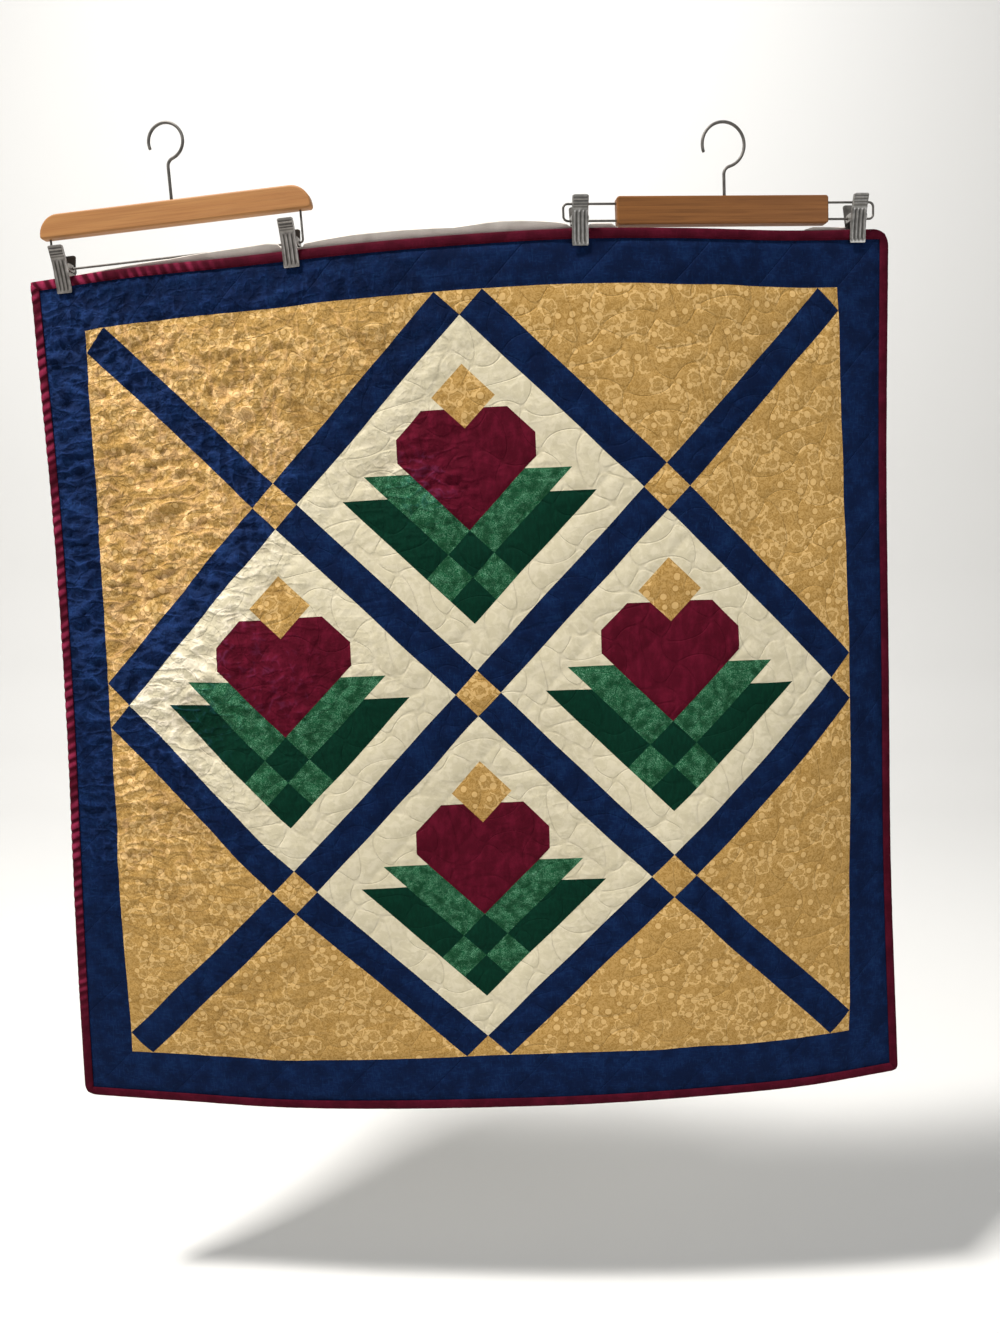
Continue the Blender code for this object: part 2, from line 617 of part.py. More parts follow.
def build_right_hanger():
    """A plain bar, a hook, and a bent wire loop at each end that carries a clip."""
    frame, half = hanger_frame(RIGHT_CLIPS)
    bar, hook = RIGHT_BAR, RIGHT_HOOK
    ends = [(bar.left, -math.pi / 2), (bar.right, math.pi / 2)]
    drills = [(hook.along, bar.top, 0, HOOK_WIRE)]
    drills += [(end, height, turn, WIRE) for end, turn in ends for height in (HINGE_HEIGHT, LOOP_UPPER)]
    board("right_hanger_bar", bar, bar.shoulder, "dark_wood", frame, drills)
    build_hook("right_hanger_hook", frame, hook, bar.top)
    for name, end, side in (("left", bar.left, 1), ("right", bar.right, -1)):
        into = end + side * (DRILL_DEPTH - GAP)
        tip = LOOP_TIPS[name]
        corners = [(into, LOOP_UPPER), (tip, LOOP_UPPER), (tip, HINGE_HEIGHT), (into, HINGE_HEIGHT)]
        loop = round_corners(corners, LOOP_BEND, False)
        wire(f"right_hanger_{name}_loop", loop, WIRE, frame)
    for clip, side in zip(RIGHT_CLIPS, (-1, 1)):
        build_clip(clip, frame, side * half)


build_quilt()
build_binding()
build_sleeve()
build_left_hanger()
build_right_hanger()
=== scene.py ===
"""A pieced wall quilt hanging from two wooden clip hangers, dressed over its fixed frame.

Metres, +Z up, the quilt's face looks along -Y. Flat places on the quilt are u (to the right) and
v (upward), measured from its middle before it is hung.
"""
import json
import math
from collections import namedtuple

import bmesh
import bpy
import numpy as np
from mathutils import Matrix, Vector

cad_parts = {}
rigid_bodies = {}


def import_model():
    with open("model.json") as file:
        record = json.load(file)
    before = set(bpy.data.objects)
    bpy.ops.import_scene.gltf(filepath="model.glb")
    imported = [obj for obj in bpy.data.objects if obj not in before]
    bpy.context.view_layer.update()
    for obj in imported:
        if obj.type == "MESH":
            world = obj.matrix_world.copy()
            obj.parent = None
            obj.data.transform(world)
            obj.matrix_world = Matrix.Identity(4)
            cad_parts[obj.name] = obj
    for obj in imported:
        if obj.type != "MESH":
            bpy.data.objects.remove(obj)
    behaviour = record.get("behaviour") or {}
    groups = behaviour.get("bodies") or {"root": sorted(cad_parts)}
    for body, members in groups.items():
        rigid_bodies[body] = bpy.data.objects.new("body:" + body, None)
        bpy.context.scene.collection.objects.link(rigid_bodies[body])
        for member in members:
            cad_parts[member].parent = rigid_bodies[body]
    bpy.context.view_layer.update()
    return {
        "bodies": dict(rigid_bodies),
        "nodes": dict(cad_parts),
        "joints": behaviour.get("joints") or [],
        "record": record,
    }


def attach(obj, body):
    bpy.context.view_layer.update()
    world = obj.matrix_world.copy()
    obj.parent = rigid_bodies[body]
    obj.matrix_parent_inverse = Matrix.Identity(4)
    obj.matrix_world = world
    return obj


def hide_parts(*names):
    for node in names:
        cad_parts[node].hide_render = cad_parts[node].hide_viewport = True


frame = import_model()

# ---- the pieced top ----
LATTICE = 0.3175                      # one block and one sash strip, square to the seams
CELL = LATTICE / math.sqrt(2) / 8.5   # half the diagonal of a cornerstone square
FIELD_CELLS = 17                      # half width of the pieced field, in cells
FIELD = FIELD_CELLS * CELL
BORDER = 0.047
BINDING_WIDTH = 0.0115
HALF = FIELD + BORDER + BINDING_WIDTH
GOLD_SQUARE = 10.3                    # where the gold square starts in a 15-cell block
SASH_END = 33                         # where a sash is cut off in the field's corners, in cells

# ---- thickness, from the middle of the cloth outward ----
GAP = 0.0003
SEAM_HALF = 0.0013
CLOTH = 0.0012
PINCH_REACH = 0.030                   # how far a clip's jaws flatten the loft around them
BINDING_HALF = SEAM_HALF + GAP + CLOTH
EDGE = HALF - CLOTH - GAP

# ---- how it hangs: a row for each upright section, millimetres ----
# across: place between the left (-1) and right (1) edge. side: drawn sideways, at top, middle and hem.
# lift: raised, at top and hem. back: distance behind the hanging plane, from top to hem.
TURN = math.radians(2.1)
MIDDLE = Vector((0.0388, -0.0129, -0.6378))
Section = namedtuple("Section", "across side_top side_middle side_hem lift_top lift_hem "
                                "back_top back_upper back_middle back_lower back_hem")
SECTIONS = [
    Section(-1.00, 11, 17, 1, -16, 22, 36, 34, 24, 19, 27),
    Section(-0.75, 2, 9, 0, -8, 12, 22, 24, 11, 9, 20),
    Section(-0.50, -2, 1, -2, -5, 4, 7, 10, -6, -6, 11),
    Section(-0.25, -5, 1, -4, 0, 1, -6, 2, -5, -2, 5),
    Section(0.00, -5, 0, -4, 3, 1, -16, -6, 0, 6, 0),
    Section(0.25, -4, 0, -3, 5, 1, -17, -11, -2, 5, 0),
    Section(0.50, -6, 1, -2, 4, 3, -7, -6, -7, -1, 5),
    Section(0.75, -14, -4, -3, 3, 7, 13, 16, 5, 11, 13),
    Section(1.00, -22, -18, -7, 4, 17, 25, 33, 31, 35, 26),
]
CORNER_ROUND = {(-1, 1): 0.004, (1, 1): 0.019, (1, -1): 0.009, (-1, -1): 0.015}

# ---- hanging sleeve: a row for each place along the top edge, millimetres ----
Lip = namedtuple("Lip", "place rise")
SLEEVE_LIPS = [
    Lip(-448, 2), Lip(-400, 3), Lip(-330, 5), Lip(-270, 9), Lip(-211, 11), Lip(-199, 8.5), Lip(-195, 3.2),
    Lip(-172, 3.2), Lip(-168, 6), Lip(-150, 7.5), Lip(-110, 10), Lip(-55, 10), Lip(0, 8), Lip(50, 12),
    Lip(85, 10), Lip(112, 7), Lip(122, 5.2), Lip(125.2, 3), Lip(145.8, 3), Lip(149, 5.2), Lip(172, 5),
    Lip(176, 3), Lip(179, 2), Lip(184, -2), Lip(240, -3), Lip(330, -3), Lip(398, -2), Lip(406, 2),
    Lip(416, 4), Lip(455, 3.5),
]
SLEEVE_DROP = 0.100
SLEEVE_WAIST = 0.045
SLEEVE_CLOTH = 0.0010
SLEEVE_SPACE = 0.0007
SLEEVE_TIP = 0.0046

# ---- hangers, in each hanger's own frame: x along, y to the back, z up from the feet of its clips ----
WIRE_DEPTH = 0.003
WIRE = 0.00125
HOOK_WIRE = 0.0017
DRILL_DEPTH = 0.010
Bar = namedtuple("Bar", "left right under top thick ease shoulder")
LEFT_BAR = Bar(-0.1581, 0.1617, 0.0625, 0.0890, 0.012, 0.0022, 0.023)
RIGHT_BAR = Bar(-0.1165, 0.1260, 0.0222, 0.0525, 0.013, 0.0015, 0.0032)
Hook = namedtuple("Hook", "along shank bow")
LEFT_HOOK = Hook(0.0005, 0.037, 0.020)
RIGHT_HOOK = Hook(0.0072, 0.024, 0.024)
HOOK_BEND = 0.009
HOOK_END = math.radians(200)
RAIL_PAST_CLIP = 0.0135
RAIL_BEND = 0.0035
LOOP_UPPER = 0.0460
LOOP_TIPS = {"left": -0.1755, "right": 0.1815}
LOOP_BEND = 0.005
CLIP_HEIGHT = 0.050
CLIP_WIDTH = 0.018
CLIP_BACK_WIDTH = 0.015
CLIP_PLATE = 0.0011
CLIP_RIBS = 4
RIB_RAISE = 0.0009
RIBS = (0.0015, 0.0355)               # heights between which the ribs run
GRIP = (0.0370, 0.0490)               # heights between which the finger grooves run
GRIP_PITCH = 0.0030
HINGE_HEIGHT = 0.028
EAR = 0.0010                          # thickness of the hinge ears
EAR_BOSS = 0.0042
EAR_REACH = {"front": -0.0075, "back": 0.0065}
PIN_CLEARANCE = 0.0006
SPRING = 0.0033                       # radius of the wound spring on the wire
SPRING_INSET = 0.0030                 # its ends stand this far inside the clip's sides
JAW = 0.006
CLIP_FRONT = [(-0.0058, 0.020), (-0.0085, 0.032), (-0.0115, 0.041), (-0.0150, CLIP_HEIGHT)]
CLIP_BACK = [(0.0100, 0.020), (0.0125, 0.032), (0.0160, 0.047)]
Clip = namedtuple("Clip", "name place bite")
LEFT_CLIPS = (Clip("clip_1", -0.4620, 0.0195), Clip("clip_2", -0.1835, 0.0195))
RIGHT_CLIPS = (Clip("clip_3", 0.1355, 0.0195), Clip("clip_4", 0.4670, 0.0155))

# ---- how the stitching and the wadding draw the cloth up ----
# Drift of the seams up the quilt, from hem to top, millimetres: in its middle and along its sides.
DRIFT_MIDDLE = (-7, 4, 1, -2, 0)
DRIFT_SIDES = (-5, 4, 3, -2, 6)
DRIFT_OUT = 0.0065                    # how far the field's corners are drawn in
Slack = namedtuple("Slack", "u v reach level upright")   # upright: 1 for upright creases, 0 for level ones
SLACKS = [
    Slack(-0.47, 0.25, 0.16, 1.00, 0.2), Slack(-0.34, 0.36, 0.13, 0.80, 0.6),
    Slack(-0.27, 0.27, 0.09, 0.9, 1.0), Slack(-0.34, 0.20, 0.12, 1.00, 0.1),
    Slack(-0.40, 0.02, 0.14, 0.80, 0.1), Slack(-0.38, -0.18, 0.14, 0.55, 0.3),
    Slack(-0.20, 0.02, 0.10, 0.45, 0.4), Slack(-0.05, 0.24, 0.07, 0.70, 0.0),
    Slack(-0.20, 0.44, 0.15, 0.45, 0.6), Slack(-0.10, 0.40, 0.10, 0.35, 0.8),
    Slack(-0.30, -0.38, 0.12, 0.30, 0.5), Slack(0.05, -0.20, 0.10, 0.20, 0.2),
    Slack(-0.47, 0.43, 0.11, 0.85, 0.5), Slack(-0.49, 0.08, 0.10, 0.45, 0.2),
    Slack(-0.49, -0.14, 0.09, 0.40, 0.2),
]
EASY = 0.14                           # crinkle left where the cloth hangs smooth
# Creases that stand out, each with its own middle, length, tilt in degrees, height and half width.
Crease = namedtuple("Crease", "u v length tilt height half")
CREASES = [
    Crease(-0.350, 0.250, 0.080, 12, 0.0017, 0.0040), Crease(-0.347, 0.238, 0.078, 17, 0.0015, 0.0036),
    Crease(-0.355, 0.273, 0.066, 12, 0.0015, 0.0040), Crease(-0.365, 0.294, 0.030, 58, 0.0014, 0.0036),
    Crease(-0.430, 0.211, 0.036, 42, 0.0015, 0.0036), Crease(-0.426, 0.170, 0.040, -6, 0.0014, 0.0036),
    Crease(-0.402, 0.352, 0.044, 22, 0.0015, 0.0036), Crease(-0.380, 0.386, 0.060, 4, 0.0017, 0.0044),
    Crease(-0.340, 0.366, 0.062, 26, 0.0015, 0.0040), Crease(-0.306, 0.330, 0.085, 84, 0.0018, 0.0042),
    Crease(-0.262, 0.352, 0.060, 56, 0.0013, 0.0040), Crease(-0.238, 0.392, 0.040, 88, 0.0013, 0.0036),
    Crease(-0.408, 0.305, 0.050, 8, 0.0014, 0.0040), Crease(-0.335, 0.205, 0.050, 72, 0.0014, 0.0036),
    Crease(-0.430, 0.395, 0.024, 14, 0.0012, 0.0036), Crease(-0.300, 0.255, 0.030, 80, 0.0014, 0.0036),
    Crease(-0.040, 0.262, 0.055, 4, 0.0013, 0.0038), Crease(-0.020, 0.246, 0.060, 15, 0.0014, 0.0038),
    Crease(-0.028, 0.230, 0.045, 24, 0.0012, 0.0036), Crease(-0.012, 0.214, 0.040, 40, 0.0011, 0.0036),
    Crease(-0.395, -0.120, 0.060, -8, 0.0014, 0.0044), Crease(-0.372, -0.170, 0.080, 6, 0.0013, 0.0048),
    Crease(-0.410, -0.215, 0.050, -4, 0.0012, 0.0044), Crease(-0.300, -0.185, 0.040, 40, 0.0011, 0.0040),
    Crease(-0.206, 0.045, 0.040, 40, 0.0010, 0.0038), Crease(-0.190, -0.012, 0.060, 2, 0.0012, 0.0040),
    Crease(-0.262, 0.068, 0.040, 48, 0.0011, 0.0038), Crease(-0.287, 0.020, 0.045, 38, 0.0012, 0.0038),
]
STITCH_ROWS = 0.105                   # slanting rows of quilting, measured up the border
LOOP = 0.0095                         # scale of the wandering quilting over the field
GATHER_PITCH = 0.0125                 # from one gather of the binding to the next
GATHER_RISE = 0.00125


# ------------------------------------------------------------------ cloth shape

def smooth(places, values, t):
    """Value at t of a smooth line through values at places, which are evenly spread."""
    t = np.asarray(t, float)
    places = np.asarray(places, float)
    stack = np.stack([np.broadcast_to(np.asarray(value, float), t.shape) for value in values])
    last = len(places) - 1
    i = np.clip(np.searchsorted(places, t, side="right") - 1, 0, last - 1)
    f = (t - places[i]) / (places[1] - places[0])

    def at(k):
        return np.take_along_axis(stack, np.clip(k, 0, last)[None], 0)[0]

    b, c = at(i), at(i + 1)
    a = np.where(i > 0, at(i - 1), 2 * b - c)
    d = np.where(i + 2 <= last, at(i + 2), 2 * c - b)
    squared, cubed = a - 2.5 * b + 2 * c - d / 2, 1.5 * (b - c) + (d - a) / 2
    return b + f * (c - a) / 2 + f ** 2 * squared + f ** 3 * cubed


def soften(u, v):
    """Rounds the quilt's four corners a little."""
    reach = np.select([(u < 0) & (v >= 0), (u >= 0) & (v >= 0), (u >= 0) & (v < 0)],
                      [CORNER_ROUND[(-1, 1)], CORNER_ROUND[(1, 1)], CORNER_ROUND[(1, -1)]],
                      CORNER_ROUND[(-1, -1)])
    s = (np.abs(u) - (HALF - reach)) / reach
    t = (np.abs(v) - (HALF - reach)) / reach
    inside = (s <= 0) | (t <= 0)
    round_s = s * np.sqrt(np.maximum(0, 1 - t * t / 2))
    round_t = t * np.sqrt(np.maximum(0, 1 - s * s / 2))
    side_u, side_v = np.where(u >= 0, 1, -1), np.where(v >= 0, 1, -1)
    return (np.where(inside, u, side_u * (HALF - reach + round_s * reach)),
            np.where(inside, v, side_v * (HALF - reach + round_t * reach)))


def hang(u, v):
    """Where the middle of the cloth hangs, one point for each pair of flat places."""
    u, v = soften(np.asarray(u, float), np.asarray(v, float))
    across, up = u / HALF, v / HALF
    places = [row.across for row in SECTIONS]

    def at(*names):
        levels = np.linspace(-1, 1, len(names))
        values = [smooth(places, [getattr(row, name) for row in SECTIONS], across) for name in names]
        return smooth(levels, values, up) / 1000

    x = u + at("side_hem", "side_middle", "side_top")
    z = v + at("lift_hem", "lift_top")
    y = at("back_hem", "back_lower", "back_middle", "back_upper", "back_top")
    turned = (x * math.cos(TURN) - z * math.sin(TURN), y, x * math.sin(TURN) + z * math.cos(TURN))
    return np.stack(turned, -1) + np.array(MIDDLE)


def facing(u, v):
    """Unit directions out of the quilt's face."""
    step = 0.004
    along = hang(u + step, v) - hang(u - step, v)
    upward = hang(u, v + step) - hang(u, v - step)
    out = np.cross(along, upward)
    return out / np.linalg.norm(out, axis=-1, keepdims=True)


def on_cloth(u, v, out):
    """Points at height out over the middle of the cloth, negative towards its back."""
    u, v = np.asarray(u, float), np.asarray(v, float)
    out = np.asarray(out, float)
    return hang(u, v) + facing(np.clip(u, -EDGE, EDGE), np.clip(v, -EDGE, EDGE)) * out[..., None]


def uneven(x, y, seed):
    """A smooth uneven field from -1 to 1 with a bump about every unit, the same each time."""
    i, j = np.floor(x), np.floor(y)
    f, g = x - i, y - j
    f, g = f * f * (3 - 2 * f), g * g * (3 - 2 * g)

    def knot(di, dj):
        mixed = np.sin((i + di) * 127.1 + (j + dj) * 311.7 + seed * 74.7) * 43758.5453
        return 2 * (mixed - np.floor(mixed)) - 1

    low = knot(0, 0) * (1 - f) + knot(1, 0) * f
    high = knot(0, 1) * (1 - f) + knot(1, 1) * f
    return low * (1 - g) + high * g


def pieced(u, v):
    """Place on the drawn pattern that lies at a flat place: hand sewing lets the seams drift."""
    su, sv = u / FIELD, v / FIELD
    levels = np.linspace(-1, 1, len(DRIFT_MIDDLE))
    inner = smooth(levels, DRIFT_MIDDLE, sv) / 1000
    outer = smooth(levels, DRIFT_SIDES, sv) / 1000
    share = np.minimum(su * su, 1)
    wobble_u = 0.0009 * uneven(u / 0.05, v / 0.05, 3)
    wobble_v = 0.0009 * uneven(u / 0.05, v / 0.05, 4)
    return u + DRIFT_OUT * su ** 3 * sv ** 2 + wobble_u, v + inner * (1 - share) + outer * share + wobble_v


def seam_distance(u, v):
    """Metres to the nearest seam of the pieced top; outside the field, to the field's edge."""
    p, q = (u + v) / CELL, (u - v) / CELL
    ap, aq = np.abs(p), np.abs(q)
    far = np.full(np.shape(u), 99.0)
    lines = [np.abs(ap - 1), np.abs(aq - 1)]
    lines += [np.where(aq < 18, np.abs(ap - k), far) for k in (16, 18)]
    lines += [np.where(ap < 18, np.abs(aq - k), far) for k in (16, 18)]
    block = (ap > 1) & (ap < 16) & (aq > 1) & (aq < 16)
    right, left = (p - 1) % 17, (-1 - q) % 17
    low, high = np.minimum(right, left), np.maximum(right, left)
    motif = block & (low >= 2) & (high <= 13)
    for seam in (2, 13):
        lines += [np.where(block, np.abs(side - seam), far) for side in (right, left)]
    for seam in (4, 6):
        lines += [np.where(motif & (low < 6.1), np.abs(side - seam), far) for side in (right, left)]
    lines += [np.where(motif & (low > 6), np.abs(side - GOLD_SQUARE), far) for side in (right, left)]
    tips = np.where(low < 4, 15, 17)
    lines += [np.where(motif & (low < 6) & (high > 6), np.abs(low + high - tips), far)]
    near = np.min(lines, axis=0) * CELL / math.sqrt(2)
    edge = FIELD - np.maximum(np.abs(u), np.abs(v))
    return np.where(edge < 0, -edge, np.minimum(near, edge))


def slack(u, v):
    """How much the wadding crinkles here, and how upright its creases run."""
    total, upright = np.full(np.shape(u), EASY), np.full(np.shape(u), 0.5 * EASY)
    for row in SLACKS:
        share = row.level * np.exp(-((u - row.u) ** 2 + (v - row.v) ** 2) / (2 * (0.62 * row.reach) ** 2))
        total, upright = total + share, upright + share * row.upright
    return np.minimum(total, 1.15), upright / total


def ridged(x, y, seed):
    """Soft-shouldered ridges with open hollows between them, from -1 to 1."""
    return 1 - 2 * np.sqrt(np.abs(uneven(x, y, seed)) + 0.01)


def creases(u, v):
    """Height of the crinkles, metres, about 0 on average."""
    level, upright = slack(u, v)
    bend_u = u + 0.014 * uneven(u / 0.055, v / 0.055, 11)
    bend_v = v + 0.014 * uneven(u / 0.055, v / 0.055, 12)
    lying = ridged(bend_u / 0.036, (bend_v - 0.18 * u) / 0.0125, 13)
    standing = ridged((bend_u + 0.15 * v) / 0.0125, bend_v / 0.036, 14)
    turned_u, turned_v = 0.88 * bend_u - 0.47 * bend_v, 0.47 * bend_u + 0.88 * bend_v
    crumpled = ridged(turned_u / 0.0135, turned_v / 0.0135, 15)
    share = np.clip(upright, 0, 1)
    broad = uneven(turned_u / 0.043, turned_v / 0.043, 17)
    height = level * (0.0027 * ((1 - share) * lying + share * standing) + 0.0016 * crumpled + 0.0018 * broad)
    for crease in CREASES:
        tilt = math.radians(crease.tilt)
        along = (u - crease.u) * math.cos(tilt) + (v - crease.v) * math.sin(tilt)
        across = (v - crease.v) * math.cos(tilt) - (u - crease.u) * math.sin(tilt)
        across = across + 0.0035 * uneven(along / 0.016 + 7 * crease.u, 9 * crease.v, 16)
        fade = np.clip(1.3 - 2.6 * np.abs(along) / crease.length, 0, 1)
        height = height + 1.8 * crease.height * fade * np.exp(-(across / crease.half) ** 2)
    return height


def stitching(u, v):
    """Roughly the distance to a quilted line, metres, with its sign: slanting rows in the border,
    wandering loops elsewhere."""
    pu, pv = pieced(u, v)
    outside = np.maximum(np.abs(pu), np.abs(pv)) > FIELD
    rows = np.sin(math.pi * (pv - pu) / STITCH_ROWS) * STITCH_ROWS / math.pi * 0.7
    across, along = (0.85 * pu - 0.53 * pv) / LOOP, (0.53 * pu + 0.85 * pv) / LOOP
    wander = np.sin(across + 1.5 * np.sin(0.83 * along + 1))
    wander = wander + np.sin(1.13 * along + 1.8 * np.sin(0.71 * across + 2))
    return np.where(outside, rows, 0.55 * LOOP * wander)


def stitch_lines(u, v):
    """1 along the quilted lines, falling to 0 beside them."""
    return np.exp(-(stitching(u, v) / 0.0036) ** 2)


def pinched(u, v):
    """0 between a clip's jaws, rising to 1 where the loft is free."""
    free = np.ones(np.shape(u))
    for clip in LEFT_CLIPS + RIGHT_CLIPS:
        away = np.hypot(u - clip.place, v - HALF)
        free = np.minimum(free, np.maximum(0.0, (away - CLIP_WIDTH) / PINCH_REACH))
    return free


def clear_of_binding(u, v):
    """0 under the binding, rising to 1 just inside it."""
    return np.clip((EDGE - np.maximum(np.abs(u), np.abs(v)) - BINDING_WIDTH) / 0.006, 0, 1)


def face_height(u, v):
    """Height of the pieced face over the middle of the cloth."""
    pu, pv = pieced(u, v)
    away = seam_distance(pu, pv)
    puff = 0.55 * (1 - np.exp(-away / 0.009)) + 0.45 * (1 - np.exp(-away / 0.0028))
    stitched = stitch_lines(u, v) * np.minimum(1, away / 0.006)
    rise = 0.0020 * puff + creases(u, v) * (0.3 + 0.7 * puff) - 0.0006 * stitched
    return SEAM_HALF + np.maximum(rise, -0.0008) * pinched(u, v) * clear_of_binding(u, v)


def back_height(u, v):
    """The backing is flatter; its stitching is the same."""
    free = pinched(u, v) * clear_of_binding(u, v)
    sleeve = v > HALF - SLEEVE_DROP - 0.01
    rise = 0.0005 + 0.45 * creases(u, v) - 0.0004 * stitch_lines(u, v)
    return SEAM_HALF + np.where(sleeve, 0, np.clip(rise, -0.0006, 0.0018)) * free


# ------------------------------------------------------------------ shader maths

class Value:
    """A number that varies over a surface. Arithmetic on it adds the nodes that work it out."""

    def __init__(self, finish, socket):
        self.finish, self.socket = finish, socket

    def maths(self, operation, *others):
        inputs = {number: value for number, value in enumerate(others)}
        return self.finish.add("Math", inputs, operation=operation)

    def __add__(self, other):
        return self.maths("ADD", self, other)

    def __radd__(self, other):
        return self.maths("ADD", other, self)

    def __sub__(self, other):
        return self.maths("SUBTRACT", self, other)

    def __rsub__(self, other):
        return self.maths("SUBTRACT", other, self)

    def __mul__(self, other):
        return self.maths("MULTIPLY", self, other)

    def __rmul__(self, other):
        return self.maths("MULTIPLY", other, self)

    def __truediv__(self, other):
        return self.maths("DIVIDE", self, other)

    def __rtruediv__(self, other):
        return self.maths("DIVIDE", other, self)

    def __mod__(self, other):
        return self.maths("FLOORED_MODULO", self, other)

    def __gt__(self, other):
        return self.maths("GREATER_THAN", self, other)

    def __lt__(self, other):
        return self.maths("LESS_THAN", self, other)

    def __abs__(self):
        return self.maths("ABSOLUTE", self)

    def least(self, other):
        return self.maths("MINIMUM", self, other)

    def most(self, other):
        return self.maths("MAXIMUM", self, other)

    def sine(self):
        return self.maths("SINE", self)

    def between(self, low, high):
        return (self > low) * (self < high)

    def eased(self, low, high, to_low=0.0, to_high=1.0):
        """Moves smoothly from to_low at low to to_high at high."""
        return self.finish.add("MapRange", {"Value": self, "From Min": low, "From Max": high,
                                            "To Min": to_low, "To Max": to_high},
                               interpolation_type="SMOOTHSTEP")


def dye(code):
    """A colour of light from the usual six-figure code of a dye card."""
    parts = [int(code[k:k + 2], 16) / 255 for k in (0, 2, 4)]
    return tuple(c / 12.92 if c <= 0.04045 else ((c + 0.055) / 1.055) ** 2.4 for c in parts)


class Finish:
    """One material. Constant values go to the shader's own sockets."""

    def __init__(self, name, **constants):
        self.material = bpy.data.materials.new(name)
        self.material.use_nodes = True
        self.tree = self.material.node_tree
        self.shader = self.tree.nodes["Principled BSDF"]
        for socket, value in constants.items():
            self.shader.inputs[socket.replace("_", " ")].default_value = value

    def add(self, kind, inputs=None, output=0, **settings):
        """A node of this kind: its settings first, then the values or links of its sockets."""
        node = self.tree.nodes.new("ShaderNode" + kind)
        for name, value in settings.items():
            setattr(node, name, value)
        for name, value in (inputs or {}).items():
            socket = node.inputs[name]
            if isinstance(value, Value):
                self.tree.links.new(value.socket, socket)
            elif socket.type == "RGBA":
                socket.default_value = (*value, 1)
            else:
                socket.default_value = value
        return Value(self, node.outputs[output])

    def mix(self, share, low, high, blend="MIX"):
        """Colour low where share is 0, high where it is 1."""
        return self.add("Mix", {0: share, 6: low, 7: high}, 2, data_type="RGBA", blend_type=blend)

    def place(self, name):
        """A vector stored on the piece's points."""
        return self.add("Attribute", output="Vector", attribute_name=name)

    def number(self, name):
        """A number stored on the piece's points."""
        return self.add("Attribute", output="Fac", attribute_name=name)

    def split(self, vector):
        """The three parts of a vector or colour."""
        node = self.add("SeparateXYZ", {"Vector": vector}).socket.node
        return [Value(self, socket) for socket in node.outputs]

    def scaled(self, vector, amounts):
        return self.add("VectorMath", {0: vector, 1: amounts}, operation="MULTIPLY")

    def noise(self, vector, scale, detail=2.0, roughness=0.5, distortion=0.0):
        return self.add("TexNoise", {"Vector": vector, "Scale": scale, "Detail": detail,
                                     "Roughness": roughness, "Distortion": distortion})

    def cells(self, vector, scale):
        """Distance to the middle of the nearest of some scattered cells, and that cell's lot."""
        cell = self.add("TexVoronoi", {"Vector": vector, "Scale": scale, "Randomness": 0.9},
                        voronoi_dimensions="2D").socket.node
        return Value(self, cell.outputs["Distance"]), self.split(Value(self, cell.outputs["Color"]))[0]

    def feed(self, socket, value):
        self.tree.links.new(value.socket, self.shader.inputs[socket])

    def bumped(self, height, distance, strength=1.0):
        """Small relief that only the light sees; distance turns height into metres."""
        bump = self.add("Bump", {"Height": height, "Distance": distance, "Strength": strength}, "Normal")
        self.feed("Normal", bump)


# ------------------------------------------------------------------ cloth finishes

def weave(finish, flat, pitch=0.0009):
    """Height of a plain weave's threads with its slubs, from 0 to 1."""
    x, y, _ = finish.split(finish.scaled(flat, (2 * math.pi / pitch,) * 3))
    threads = (x.sine() * y.sine()) * 0.5 + 0.5
    slubs = finish.noise(finish.scaled(flat, (1, 0.16, 1)), 420, 2.0)
    return threads * 0.5 + slubs * 0.5


def scroll_print(finish, flat, turn):
    """Tone on tone: lobed leaves in light outline, berries, and fine curls between them."""
    turned = finish.add("Mapping", {"Vector": flat, "Rotation": (0, 0, turn)})
    drift = finish.add("TexNoise", {"Vector": turned, "Scale": 80.0, "Detail": 1.0}, "Color")
    drift = finish.add("VectorMath", {0: drift, 1: (0.5, 0.5, 0.5)}, operation="SUBTRACT")
    warped = finish.add("VectorMath", {0: drift, 1: (0.010, 0.010, 0.0), 2: turned}, operation="MULTIPLY_ADD")
    leaf_far, leaf_lot = finish.cells(warped, 43)
    lobed = leaf_far + (finish.noise(turned, 250, 1.0, 0.5, 0.4) - 0.5) * 0.42
    leafy = leaf_lot > 0.32
    outline = abs(lobed - 0.36).eased(0.085, 0.045) * leafy
    inside = lobed.eased(0.34, 0.28) * leafy
    vein = abs(lobed - 0.15).eased(0.045, 0.015) * leafy
    curls = abs((finish.noise(warped, 125, 1.0, 0.5, 0.6) * 6) % 1 - 0.5).eased(0.24, 0.12)
    berry_far, berry_lot = finish.cells(turned, 74)
    size = 0.08 + 0.22 * berry_lot
    picked = berry_lot > 0.56
    berry = berry_far.eased(size + 0.03, size - 0.03) * picked
    rim = abs(berry_far - size - 0.06).eased(0.05, 0.02) * picked
    flecks = finish.noise(turned, 270, 1.0, 0.5, 1.2).eased(0.52, 0.58)
    ground = finish.mix(finish.noise(flat, 60, 2.0), dye("99753b"), dye("a98549"))
    printed = finish.mix((curls * 0.6).most(flecks * 0.65) * (1 - inside), ground, dye("c39e62"))
    printed = finish.mix(inside * 0.55, printed, dye("b28e53"))
    printed = finish.mix(outline.most(vein * 0.6).most(berry), printed, dye("cfab70"))
    return finish.mix(rim * 0.5, printed, dye("946f35"))


